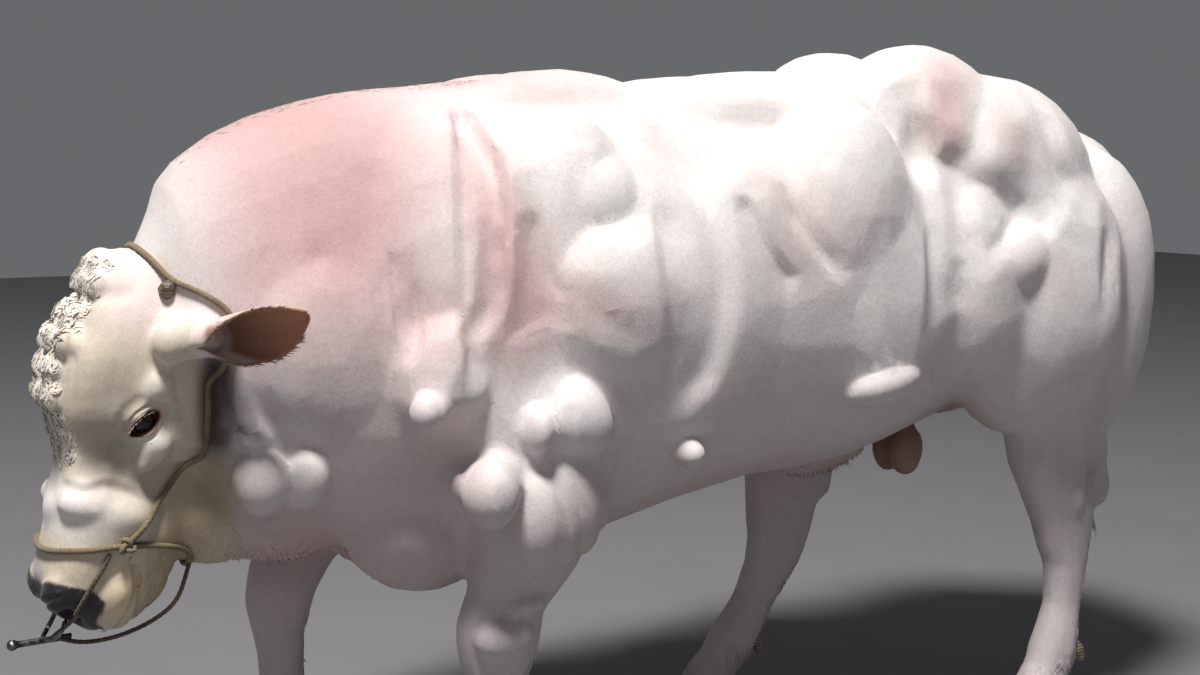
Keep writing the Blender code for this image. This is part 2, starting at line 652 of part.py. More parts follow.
def foot_plane(leg):
    """Slanting plane on which the skin ends and the claws begin."""
    foot = leg[-2]
    normal = (HOOF_SLOPE, 0.0, 1.0)
    return (foot[0], 0.0, HOOF_TOP), tuple(-n for n in normal)


def legs_of(skin):
    """Cut the four legs from the flesh; returns them and what is left."""
    cut = {}
    for side in (-1, 1):
        for hind, table in ((False, FORELEG), (True, HINDLEG)):
            name = ("left_" if side < 0 else "right_") + ("hindleg" if hind else "foreleg")
            region = leg_region(side, hind)
            leg = boolean(copy_of(skin, name), block("region", region + [foot_plane(table[side])]),
                          "INTERSECT")
            cut[name] = largest_shell(leg)
            skin = boolean(skin, block("region", region, GAP), "DIFFERENCE")
    return cut, largest_shell(skin)


# --------------------------------------------------------------------- claws


def claw(name, x, y, inner, hind):
    """One claw of a cloven foot: flat sole, sloping wall, slanting top.

    The sole lies on the floor and the outline narrows to a toe that turns a
    little toward the cleft, which is on the side given by inner.
    """
    length, width = (0.060, 0.0275) if hind else (0.063, 0.0290)
    sides = 16
    rings = []
    for level, share in ((0.0, 0.0), (0.004, 0.04), (0.030, 0.45), (1.0, 1.0)):
        ring = []
        for j in range(sides):
            turn = 2 * math.pi * j / sides
            ahead, aside = math.cos(turn), math.sin(turn)
            narrow = 1 - 0.30 * max(ahead, 0) ** 2
            grow = 1.0 if level else 0.955
            px = -length * ahead * (1 - 0.17 * share) * grow + 0.016 * share
            py = width * aside * narrow * (1 - 0.05 * share) * grow
            py += inner * 0.006 * max(ahead, 0) ** 2
            top = HOOF_TOP - GAP - HOOF_SLOPE * px
            pz = top if share == 1.0 else level * (0.8 if ahead < 0 else 1.0)
            ring.append((x + px, y + py, pz))
        rings.append(ring)
    verts = [v for ring in rings for v in ring]
    faces = []
    for i in range(len(rings) - 1):
        for j in range(sides):
            k = (j + 1) % sides
            faces.append((i * sides + j, i * sides + k, (i + 1) * sides + k, (i + 1) * sides + j))
    last = (len(rings) - 1) * sides
    faces.append(tuple(range(sides))[::-1])
    faces.append(tuple(range(last, last + sides)))
    return new_object(name, verts, faces)


def feet():
    """Eight claws and eight dewclaws."""
    made = {}
    for side, word in ((-1, "left"), (1, "right")):
        for hind, table, pair in ((False, FORELEG, "fore"), (True, HINDLEG, "hind")):
            leg = table[side]
            for inner, place in ((-side, "outer"), (side, "inner")):
                name = f"{word}_{pair}_{place}_claw"
                made[name] = claw(name, leg[-2][0], leg[-2][1] * side - inner * 0.0305, inner, hind)
                knob = leg[-4]
                x, y = knob[0] + 0.052, knob[1] * side - inner * 0.024
                rows = [(x + dx, y, knob[2] + dz, wide, wide * 1.3) for dx, dz, wide in
                        ((-0.018, 0.022, 0.0125), (0.002, 0.000, 0.0130), (0.015, -0.026, 0.006))]
                name = f"{word}_{pair}_{place}_dewclaw"
                made[name] = loft(name, rows, sides=5, per=1, power=2.0)
    return made


# ------------------------------------------------------- ears, eyes and horns

EAR_ROOT = (-0.097, 0.150, -0.114)
EAR_AXIS = (0.337, 0.819, -0.449)
EAR_FACE = (-0.718, 0.504, 0.471)
EAR_LENGTH = 0.270

# Share of the length, half width, half angle of the curl in degrees.
EAR_ROWS = [
    (0.00, 0.034, 165), (0.16, 0.033, 165), (0.30, 0.036, 150), (0.38, 0.040, 125),
    (0.46, 0.046, 100), (0.56, 0.052, 80), (0.68, 0.054, 63), (0.80, 0.044, 51), (0.90, 0.028, 44),
    (0.97, 0.013, 39), (1.00, 0.004, 36),
]


def ear_frame(side):
    """Root, axis, facing and downward directions of one ear on the bull."""
    place = head_matrix()
    turn = place.to_3x3()
    root = np.array(place @ Vector((EAR_ROOT[0], EAR_ROOT[1] * side, EAR_ROOT[2])))
    axis = np.array(turn @ Vector((EAR_AXIS[0], EAR_AXIS[1] * side, EAR_AXIS[2])))
    face = np.array(turn @ Vector((EAR_FACE[0], EAR_FACE[1] * side, EAR_FACE[2])))
    axis /= np.linalg.norm(axis)
    face -= axis * (face @ axis)
    face /= np.linalg.norm(face)
    down = np.cross(axis, face)
    return root, axis, face, down * -np.sign(down[2])


def ear(name, side):
    """Cupped, leaf-shaped ear standing out to the side and back."""
    root, axis, face, down = ear_frame(side)
    rows = spline(EAR_ROWS, 1)
    around = 8
    outer, inner = [], []
    for share, half, curl in rows:
        curl = math.radians(curl)
        radius = half / math.sin(min(curl, math.pi / 2))
        thick = 0.0075 - 0.0040 * share
        spine = root + axis * (EAR_LENGTH * share) + face * (0.015 * share**2)
        for j in range(around):
            turn = curl * (2 * j / (around - 1) - 1)
            wide = math.sin(turn) * down * (1.22 if turn > 0 else 0.80)
            outer.append(spine + radius * (face + wide - math.cos(turn) * face))
            inner.append(spine + radius * face + (radius - thick) * (wide - math.cos(turn) * face))
    verts = outer + inner
    base, last = len(outer), len(rows) - 1
    faces = []
    for i in range(last):
        for j in range(around - 1):
            a, d = i * around + j, (i + 1) * around + j
            faces.append((a, a + 1, d + 1, d))
            faces.append((base + d, base + d + 1, base + a + 1, base + a))
        for j in (0, around - 1):
            a, d = i * around + j, (i + 1) * around + j
            faces.append((a, d, base + d, base + a))
    for i in (0, last):
        for j in range(around - 1):
            a = i * around + j
            faces.append((a, a + 1, base + a + 1, base + a))
    return new_object(name, verts, faces)


def eye_centre(side):
    """Where an eyeball lies on the bull."""
    return on_head([(EYE[0], EYE[1] * side, EYE[2])])[0]


def socketed(head):
    """Open the lids, the eye sockets and the nostrils."""
    place = head_matrix()
    for side in (-1, 1):
        slit = ball((EYE[0], (EYE[1] + 0.022) * side, EYE[2]), EYE_SLIT, EYE_TILT)
        boolean(head, moved(slit, place), "DIFFERENCE")
        pocket = ball(eye_centre(side), (EYE_RADIUS + GAP,) * 3, detail=2)
        boolean(head, pocket, "DIFFERENCE")
        hole = ball((-0.622, 0.050 * side, -0.078), (0.032, 0.012, 0.019), 28, 26 * side, 0)
        boolean(head, moved(hole, place), "DIFFERENCE")
    return head


# Rows of curls: distance from the poll, half spread, how many, radius.
CURLS = [
    (-0.004, 0.030, 2, 0.037), (0.054, 0.058, 3, 0.038), (0.112, 0.034, 2, 0.038), (0.160, 0.064, 3, 0.039),
    (0.218, 0.034, 2, 0.038), (0.266, 0.052, 3, 0.036),
]


def curls(head):
    """Rounded clumps of curly hair, set close over the poll and forehead."""
    made = []
    for run, spread, count, radius in CURLS:
        route = on_head([(-run, y, 0.08) for y in np.linspace(-spread, spread, count)])
        made += [ball(spot, (radius,) * 3, detail=2) for spot in seated(head, route, -0.4 * radius, 1)]
    return made


def grown(core, pieces):
    """Fuse many closed pieces with the form that they are rooted in."""
    group = bpy.data.collections.new("grown")
    for piece in pieces:
        group.objects.link(piece)
        piece.hide_render = True
        piece.display_type = "WIRE"
    join = core.modifiers.new("join", "BOOLEAN")
    join.operation = "UNION"
    join.operand_type = "COLLECTION"
    join.solver = "EXACT"
    join.collection = group
    apply_stack(core)
    for piece in pieces:
        drop(piece)
    bpy.data.collections.remove(group)
    tidy(core, 0.00005)
    return largest_shell(core)


def horn(name, side):
    """Short bud of horn beside the poll."""
    root, tip = (np.array(spot) for spot in on_head(
        [(-0.044, 0.100 * side, -0.083), (-0.029, 0.137 * side, -0.063)]))
    rows = [(*(root + (tip - root) * s), r, r) for s, r in
            ((-0.6, 0.021), (0.0, 0.021), (0.5, 0.018), (0.85, 0.012), (1.0, 0.006))]
    return loft(name, rows, sides=8, per=1, power=2.0)


# --------------------------------------------------------------- tail, halter

TAIL = [
    (0.840, 0, 1.275, 0.050, 0.045), (0.920, 0, 1.278, 0.046, 0.042), (0.985, 0, 1.245, 0.040, 0.037),
    (1.030, 0, 1.170, 0.033, 0.031), (1.052, 0, 1.07, 0.027, 0.026), (1.060, 0, 0.95, 0.023, 0.022),
    (1.062, 0, 0.82, 0.019, 0.019), (1.060, 0, 0.70, 0.017, 0.017), (1.057, 0, 0.58, 0.018, 0.018),
    (1.058, 0, 0.46, 0.018, 0.018), (1.062, 0, 0.36, 0.008, 0.008),
]

# Share of a lock's length, distance out from the tail, half width, half depth.
LOCK = [(0.0, 0.004, 0.012, 0.007), (0.20, 0.021, 0.018, 0.010), (0.50, 0.031, 0.019, 0.010),
        (0.80, 0.026, 0.012, 0.007), (1.0, 0.014, 0.004, 0.003)]


def switch():
    """Flat tapering locks round the end of the tail, each lower than the last."""
    made = []
    for k in range(10):
        turn, top = 2.4 * k, 0.655 - 0.021 * k
        length = min(0.240, top - 0.305 + 0.004 * (k % 4))
        rows = [(1.058 + out * math.cos(turn + 0.5 * share), out * math.sin(turn + 0.5 * share),
                 top - length * share, wide, deep) for share, out, wide, deep in LOCK]
        made.append(loft("lock", rows, sides=4, per=1, power=2.0))
    return made


CROWN_ROPE = [
    (-0.4755, 0.098, -0.123), (-0.424, 0.105, -0.148), (-0.322, 0.130, -0.200), (-0.240, 0.150, -0.195),
    (-0.168, 0.165, -0.176), (-0.105, 0.175, -0.200), (-0.048, 0.150, -0.190), (-0.014, 0.085, -0.124),
    (-0.002, 0.000, -0.070),
]
NOSE_ROPE = [
    (-0.518, 0.0, 0.000), (-0.512, 0.060, -0.020), (-0.495, 0.095, -0.070), (-0.4755, 0.098, -0.123),
    (-0.470, 0.090, -0.190), (-0.475, 0.050, -0.260), (-0.478, 0.0, -0.270),
]
STRAP = [
    (-0.496, 0.102, -0.101), (-0.530, 0.106, -0.094), (-0.574, 0.100, -0.080), (-0.618, 0.070, -0.078),
]
TONG_CORD = [
    (-1.350, -0.018, 0.436), (-1.300, -0.034, 0.424), (-1.240, -0.044, 0.430), (-1.180, -0.048, 0.452),
    (-1.140, -0.046, 0.484), (-1.123, -0.044, 0.533),
]
ROPE = 0.0055


def loop(half):
    """Whole route over both sides from the half on the +Y side."""
    other = [(x, -y, z) for x, y, z in half]
    return other[::-1] + half[1:] if half[0][1] == 0 else half + other[::-1][1:]


def halter(body, *others):
    """Rope halter, nose tongs, and the strap and cord that hold the tongs."""
    lift = ROPE + 0.0030
    crown = seated(body, on_head(loop(CROWN_ROPE)), lift + 0.002, 2)
    half = on_head([(x, -y, z) for x, y, z in NOSE_ROPE[::-1]] + NOSE_ROPE[1:])
    ring = seated(body, half, lift, 2)
    strap = seated(body, on_head(mirrored(STRAP)), 0.0062, 3)
    nose = np.array(head_matrix().to_3x3() @ Vector((1.0, 0.0, 0.0)))
    end = np.array(on_head([(-0.664, -0.012, -0.072)])[0])
    made = {
        "halter_nose_rope": cord("halter_nose_rope", ring, ROPE, per=1, closed=True, aside=nose),
        "halter_crown_rope": cord("halter_crown_rope", crown, ROPE, sides=5, per=1),
        "nose_tongs": tongs(),
        "tongs_strap": cord("tongs_strap", [*strap, end], 0.0042, per=1),
        "tongs_cord": cord("tongs_cord", TONG_CORD, 0.0042, per=2),
    }
    order = list(made)
    for i, name in enumerate(order):
        fitted(made[name], *others, *[made[other] for other in order[:i]])
    return made


def tongs():
    """Steel nose tongs: two arms that close on the wall between the nostrils."""
    pieces = []
    for side in (-1, 1):
        arm = on_head([(-0.610, 0.016 * side, -0.078), (-0.632, 0.034 * side, -0.078),
                       (-0.655, 0.036 * side, -0.074), (-0.670, 0.018 * side, -0.064),
                       (-0.676, 0.000, -0.058)])
        pieces.append(cord("arm", arm, 0.0048, sides=8, per=3))
        pieces.append(ball(arm[0], (0.0085,) * 3, detail=2))
    bar = on_head([(-0.690, 0.0, -0.010), (-0.676, 0.0, -0.058), (-0.662, 0.0, -0.106)])
    pieces.append(cord("bar", bar, 0.0062, sides=8, per=2))
    pieces.append(ball(bar[0], (0.010,) * 3, detail=2))
    return thinned(melt("nose_tongs", pieces, 0.0022, 2), 320)


def scrotum(*neighbours):
    """Bull's purse, hanging between the hind legs."""
    pieces = [ball((0.505, 0.030 * side, 0.602), (0.044, 0.036, 0.062), 6) for side in (-1, 1)]
    pieces.append(ball((0.510, 0.0, 0.675), (0.036, 0.038, 0.055), 0))
    return fitted(thinned(melt("scrotum", pieces, 0.005, 5), 210), *neighbours)


# ------------------------------------------------------------------ assembly


def finish(made, name, look):
    """Name an object, give it its finish and shade it smooth."""
    made.name = name
    made.data.name = name
    made.data.materials.clear()
    made.data.materials.append(look)
    made.data.polygons.foreach_set("use_smooth", [True] * len(made.data.polygons))
    made.hide_render = False
    return made


def main():
    """Build the bull."""
    clear_scene()
    body = furrowed(melt("body", flesh() + head_flesh(), BODY_VOXEL, 6))
    whole = copy_of(body, "whole")
    thinned(body, BODY_TRIANGLES)

    front = [loft("neck", NECK, per=4, power=2.2, taper=0.12), *masses(MID_MASSES[:2], 1)]
    for side in (-1, 1):
        front += masses(SIDE_MASSES[-1:] + THROAT_LUMPS, side)
    head = melt("head", head_flesh() + front, HEAD_VOXEL, 9)
    for route, width, depth in HEAD_CREASES:
        for side in (-1, 1):
            placed = on_head([(x, y * side, z) for x, y, z in route])
            crease(head, seated(head, placed, 0.0), width, depth)
    head = boolean(head, block("region", [HEAD_PLANE]), "INTERSECT")
    thinned(head, HEAD_TRIANGLES)
    head = grown(largest_shell(socketed(head)), curls(head))

    nodes, body = legs_of(body)
    neck = boolean(copy_of(body, "neck"),
                   block("region", [flipped(HEAD_PLANE), NECK_PLANE], -GAP / 2), "INTERSECT")
    nodes["neck"] = largest_shell(neck)
    torso = boolean(body, block("region", [flipped(NECK_PLANE)], -GAP / 2), "INTERSECT")
    nodes["torso"] = largest_shell(torso)
    nodes["head"] = head

    for side, word in ((-1, "left"), (1, "right")):
        nodes[f"{word}_eye"] = ball(eye_centre(side), (EYE_RADIUS,) * 3, detail=2)
        nodes[f"{word}_ear"] = fitted(ear("ear", side), head, nodes["neck"])
        nodes[f"{word}_horn_bud"] = fitted(horn("horn", side), head, nodes["neck"])
    nodes["scrotum"] = scrotum(nodes["torso"], nodes["left_hindleg"], nodes["right_hindleg"])
    tail = grown(loft("tail", TAIL, sides=9, per=2), switch())
    nodes["tail"] = fitted(tail, nodes["torso"], nodes["left_hindleg"], nodes["right_hindleg"])
    for name, made in feet().items():
        if name.endswith("dewclaw"):
            leg = name.split("_")[0] + "_" + name.split("_")[1] + "leg"
            made = fitted(made, nodes[leg])
        nodes[name] = made
    close = [nodes[f"{word}_{form}"] for word in ("left", "right") for form in ("ear", "horn_bud")]
    nodes.update(halter(whole, head, nodes["neck"], *close))
    drop(whole)

    looks = {
        "hide": material("hide", WHITE, 0.75),
        "face": material("face", CREAM, 0.75),
        "ear": material("ear", PINK, 0.7),
        "eye": material("eye", (0.05, 0.02, 0.015), 0.08),
        "horn": material("horn", (0.34, 0.24, 0.15), 0.45),
        "claw": material("claw", (0.30, 0.25, 0.20), 0.4),
        "rope": material("rope", (0.30, 0.24, 0.16), 0.9),
        "steel": material("steel", (0.10, 0.10, 0.11), 0.35, 0.9),
    }
    kinds = {"head": "face", "left_ear": "ear", "right_ear": "ear", "scrotum": "ear",
             "tongs_strap": "rope", "tongs_cord": "rope", "nose_tongs": "steel"}
    for name, made in nodes.items():
        kind = kinds.get(name, "hide")
        for word, look in (("eye", "eye"), ("horn", "horn"), ("claw", "claw"), ("rope", "rope")):
            if word in name:
                kind = look
        tidy(made, 0.00002)
        finish(made, name, looks[kind])
    centre_on_floor(list(nodes.values()))


def centre_on_floor(made):
    """Put the middle of the whole model's footprint over the origin."""
    spots = np.vstack([points_of(item)[0] for item in made])
    low, high = spots.min(axis=0), spots.max(axis=0)
    shift = Matrix.Translation((-(low[0] + high[0]) / 2, -(low[1] + high[1]) / 2, 0.0))
    for item in made:
        moved(item, shift)


main()
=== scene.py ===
"""Life-size still model of a double-muscled beef bull in a short pale coat, with halter and nose tongs."""

from __future__ import annotations

import logging
import math
from dataclasses import dataclass, field
from enum import Enum
from typing import Callable, Iterable, Sequence

import bmesh
import bpy
import numpy as np
from bmesh.types import BMesh
from bpy.types import Material, Node, NodeSocket, NodeTree, Object
from mathutils import Matrix, Vector
from mathutils.bvhtree import BVHTree


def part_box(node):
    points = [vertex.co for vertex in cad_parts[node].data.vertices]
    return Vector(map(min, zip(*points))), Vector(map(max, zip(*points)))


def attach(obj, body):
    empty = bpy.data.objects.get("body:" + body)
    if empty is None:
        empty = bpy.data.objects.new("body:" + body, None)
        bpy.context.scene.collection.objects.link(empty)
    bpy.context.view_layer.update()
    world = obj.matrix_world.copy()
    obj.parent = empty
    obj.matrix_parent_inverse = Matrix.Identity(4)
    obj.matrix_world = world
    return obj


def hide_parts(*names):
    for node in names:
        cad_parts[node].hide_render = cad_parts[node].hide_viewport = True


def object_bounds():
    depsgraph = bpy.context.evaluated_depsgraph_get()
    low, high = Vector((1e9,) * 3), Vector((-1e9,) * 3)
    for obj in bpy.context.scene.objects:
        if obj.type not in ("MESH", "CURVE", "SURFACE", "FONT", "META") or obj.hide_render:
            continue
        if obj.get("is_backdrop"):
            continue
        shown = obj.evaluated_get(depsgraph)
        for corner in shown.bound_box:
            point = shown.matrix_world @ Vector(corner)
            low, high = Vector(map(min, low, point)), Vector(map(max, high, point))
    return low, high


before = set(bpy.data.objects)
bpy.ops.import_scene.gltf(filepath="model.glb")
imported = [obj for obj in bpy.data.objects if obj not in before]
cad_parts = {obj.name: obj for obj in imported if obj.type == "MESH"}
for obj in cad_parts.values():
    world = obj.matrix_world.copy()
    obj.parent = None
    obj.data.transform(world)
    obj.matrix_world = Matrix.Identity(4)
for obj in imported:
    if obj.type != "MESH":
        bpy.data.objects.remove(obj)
CAD_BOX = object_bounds()

LOG = logging.getLogger("bull")
Point = tuple[float, float, float]
Array = np.ndarray

FLESH = (
    "torso", "neck", "head", "left_foreleg", "right_foreleg", "left_hindleg", "right_hindleg",
    "tail", "scrotum", "left_ear", "right_ear",
)
BOX_MARGIN = 0.0006
FRAME_WIDTH = 1200


class Side(Enum):
    """The two sides of the bull; the value is the sign of y."""

    LEFT = -1
    RIGHT = 1

    @property
    def word(self) -> str:
        """Name of the side in lower case."""
        return self.name.lower()


# ---- small tools


def curve_through(points: Sequence[Point] | Array, step: float = 0.004) -> Array:
    """Lay a smooth curve through points.

    Args:
        points: The points to pass through, in order.
        step: Spacing of the result in metres.

    Returns:
        Points spaced evenly along the curve.
    """
    given = np.asarray(points, float)
    if len(given) == 2:
        given = np.array([given[0], given.mean(0), given[1]])
    ends = np.vstack([2 * given[0] - given[1], given, 2 * given[-1] - given[-2]])
    share = np.linspace(0, 1, 24, endpoint=False)[:, None]
    fine = []
    for a, b, c, d in zip(ends, ends[1:], ends[2:], ends[3:]):
        fine.append(0.5 * (2 * b + (c - a) * share + (2 * a - 5 * b + 4 * c - d) * share**2
                           + (3 * b - 3 * c + d - a) * share**3))
    fine = np.vstack([*fine, given[-1:]])
    run = np.concatenate([[0], np.cumsum(np.linalg.norm(np.diff(fine, axis=0), axis=1))])
    count = max(3, int(run[-1] / step) + 1)
    at = np.linspace(0, run[-1], count)
    return np.stack([np.interp(at, run, fine[:, k]) for k in range(3)], axis=1)


def ramp(value: Array, low: float, high: float) -> Array:
    """Smooth rise from 0 at low to 1 at high."""
    t = np.clip((value - low) / (high - low), 0, 1)
    return t * t * (3 - 2 * t)


def unit(vectors: Array) -> Array:
    """Vectors scaled to a length of one."""
    return vectors / np.maximum(np.linalg.norm(vectors, axis=-1, keepdims=True), 1e-12)


def sided(points: Sequence[Point] | Point | Array, sign: int) -> Array:
    """Places given on the right side, on the side of this sign of y."""
    return np.asarray(points, float) * (1, sign, 1)


def mm(*numbers: float) -> tuple[Point, ...]:
    """Points from their coordinates in millimetres, three for each."""
    metres = [number / 1000 for number in numbers]
    return tuple(zip(metres[::3], metres[1::3], metres[2::3]))


def blended(colour: Array, other: Sequence[float] | Array, share: Array) -> Array:
    """Colours with a share of another colour laid over them."""
    share = share[:, None]
    return colour * (1 - share) + np.asarray(other) * share


def new_piece(name: str, bm: BMesh) -> Object:
    """Turn a bmesh into a linked object with smooth faces and free the bmesh."""
    mesh = bpy.data.meshes.new(name)
    bm.to_mesh(mesh)
    bm.free()
    mesh.shade_smooth()
    made = bpy.data.objects.new(name, mesh)
    bpy.context.scene.collection.objects.link(made)
    return made


def settled(made: Object) -> Object:
    """Apply an object's modifiers to its mesh."""
    bpy.context.view_layer.update()
    seen = made.evaluated_get(bpy.context.evaluated_depsgraph_get())
    mesh = bpy.data.meshes.new_from_object(seen)
    made.modifiers.clear()
    old, made.data = made.data, mesh
    mesh.name = made.name
    bpy.data.meshes.remove(old)
    return made


def drop(made: Object) -> None:
    """Remove a helper object with its mesh."""
    mesh = made.data
    bpy.data.objects.remove(made)
    bpy.data.meshes.remove(mesh)


def ball(bm: BMesh, spot: Point, radii: Point, lean: float = 0.0, detail: int = 4,
         place: Matrix | None = None) -> None:
    """Add an ellipsoid to a bmesh.

    Args:
        bm: The bmesh that receives it.
        spot: Its centre.
        radii: Half sizes along its own axes.
        lean: Turn about the y axis in degrees.
        detail: Subdivisions of the sphere.
        place: Frame that the ellipsoid is given in.
    """
    scale = Matrix.Diagonal((*radii, 1.0))
    own = Matrix.Translation(spot) @ Matrix.Rotation(math.radians(lean), 4, "Y") @ scale
    bmesh.ops.create_icosphere(bm, subdivisions=detail, radius=1.0,
                               matrix=own if place is None else place @ own)


def triangles(made: Object) -> int:
    """Number of triangles in an object's mesh."""
    return sum(len(face.vertices) - 2 for face in made.data.polygons)


# ---- frames


@dataclass(frozen=True)
class HeadFrame:
    """Level frame of the head: x runs from the nose back to the poll, z from the jaw to the brow."""

    poll: Point = (-1.235, 0.0, 1.095)
    nose_down: float = -74.0
    yaw: float = 4.0

    def matrix(self) -> Matrix:
        """From the level frame to the bull."""
        return (Matrix.Translation(self.poll) @ Matrix.Rotation(math.radians(self.yaw), 4, "Z")
                @ Matrix.Rotation(math.radians(self.nose_down), 4, "Y"))

    def carry(self, points: Sequence[Point] | Array) -> Array:
        """Points of the level frame carried to the bull."""
        place = np.array(self.matrix())
        return np.asarray(points, float) @ place[:3, :3].T + place[:3, 3]

    def turned(self, vectors: Sequence[Point] | Array) -> Array:
        """Directions of the level frame turned to the bull."""
        return np.asarray(vectors, float) @ np.array(self.matrix())[:3, :3].T

    def level(self, points: Array) -> Array:
        """Points of the bull in the level frame of the head."""
        place = np.array(self.matrix())
        return (np.asarray(points, float) - place[:3, 3]) @ place[:3, :3]


HEAD = HeadFrame()
EYE: Point = (-0.264, 0.103, -0.095)
EYE_RADIUS = 0.0225
LID_LENGTH = 0.0262
UPPER_LID = 0.0142
LOWER_LID = 0.0132
LID_SLANT = 32.0
PURSE: Point = (0.505, 0.0, 0.6)
PURSE_MIDDLE: Point = (0.505, 0.0, 0.61)
CLAW_TOP = 0.075


def head_spot(spot: Point, sign: int) -> Array:
    """One place of the head's level frame, on one side, carried to the bull."""
    return HEAD.carry([sided(spot, sign)])[0]


def eye_centre(side: Side) -> Array:
    """Centre of an eyeball before the model is put in its place on the floor."""
    return head_spot(EYE, side.value)


def eye_axes(side: Side) -> tuple[Array, Array, Array]:
    """Directions out of the eye, along its lids and up across them."""
    out = HEAD.turned(unit(np.array([(-0.22, side.value, 0.08)])))[0]
    tilt = math.radians(LID_SLANT)
    along = HEAD.turned([(math.cos(tilt), 0.0, -math.sin(tilt))])[0]
    along = unit(along - out * (along @ out))
    up = np.cross(out, along)
    return out, along, up * np.sign(HEAD.turned([(0.0, 0.0, 1.0)])[0] @ up)


def lid_reach(along: Array, across: Array) -> Array:
    """Distance from the middle of the eye as a share of its opening: 1 on the edge of a lid."""
    tall = np.where(across > 0, UPPER_LID, LOWER_LID) * (1 - 0.22 * np.clip(-along / LID_LENGTH, 0, 1))
    return np.hypot(along / LID_LENGTH, across / tall)


def eye_reach(side: Side, points: Array) -> Array:
    """The same for places on the bull, and a large number far from the eye."""
    out, along, up = eye_axes(side)
    local = points - eye_centre(side)
    reach = lid_reach(local @ along, local @ up)
    return np.where((np.linalg.norm(local, axis=1) < 0.06) & (local @ out > 0), reach, 9.0)


def rimmed(colour: Array, reach: Array) -> Array:
    """Darken the edges of the lids and the corners of the eye."""
    colour = blended(colour, LID_PINK, 0.6 * (1 - ramp(reach, 1.3, 1.75)))
    return blended(colour, LID_EDGE, 1 - ramp(reach, 1.12, 1.36))


def curl_share(level: Array) -> Array:
    """Where the coat of the poll and forehead is curly, for points in the level frame of the head."""
    x, y, z = level[:, 0], np.abs(level[:, 1]), level[:, 2]
    column = ramp(x, -0.375, -0.3) * (1 - ramp(x, -0.05, -0.01)) * (1 - ramp(y, 0.05, 0.068))
    return column * ramp(z, -0.03, 0.005)


def shift_to_floor() -> Vector:
    """How far the whole bull is moved so that its footprint is centred on the origin."""
    low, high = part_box("left_eye")
    return (low + high) / 2 - Vector(eye_centre(Side.LEFT))


SHIFT = shift_to_floor()


def boxed(points: Array) -> Array:
    """Points of the bull kept inside the outer size of the solids."""
    low, high = (np.array(corner) - np.array(SHIFT) for corner in CAD_BOX)
    return np.clip(points, low + BOX_MARGIN, high - BOX_MARGIN)


def place_piece(made: Object, look: Material, slot: str, *nodes: str) -> None:
    """Dress a finished piece, put it on the floor with the rest and hang it from the root.

    Args:
        made: The piece, built in the bull's own frame.
        look: Its material.
        slot: Not used.
        nodes: Solids that it stands for.
    """
    made.data.materials.clear()
    made.data.materials.append(look)
    made.data.transform(Matrix.Translation(SHIFT))
    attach(made, "root")
    if nodes:
        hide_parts(*nodes)
    LOG.info("%s: %d triangles", made.name, triangles(made))


# ---- clay


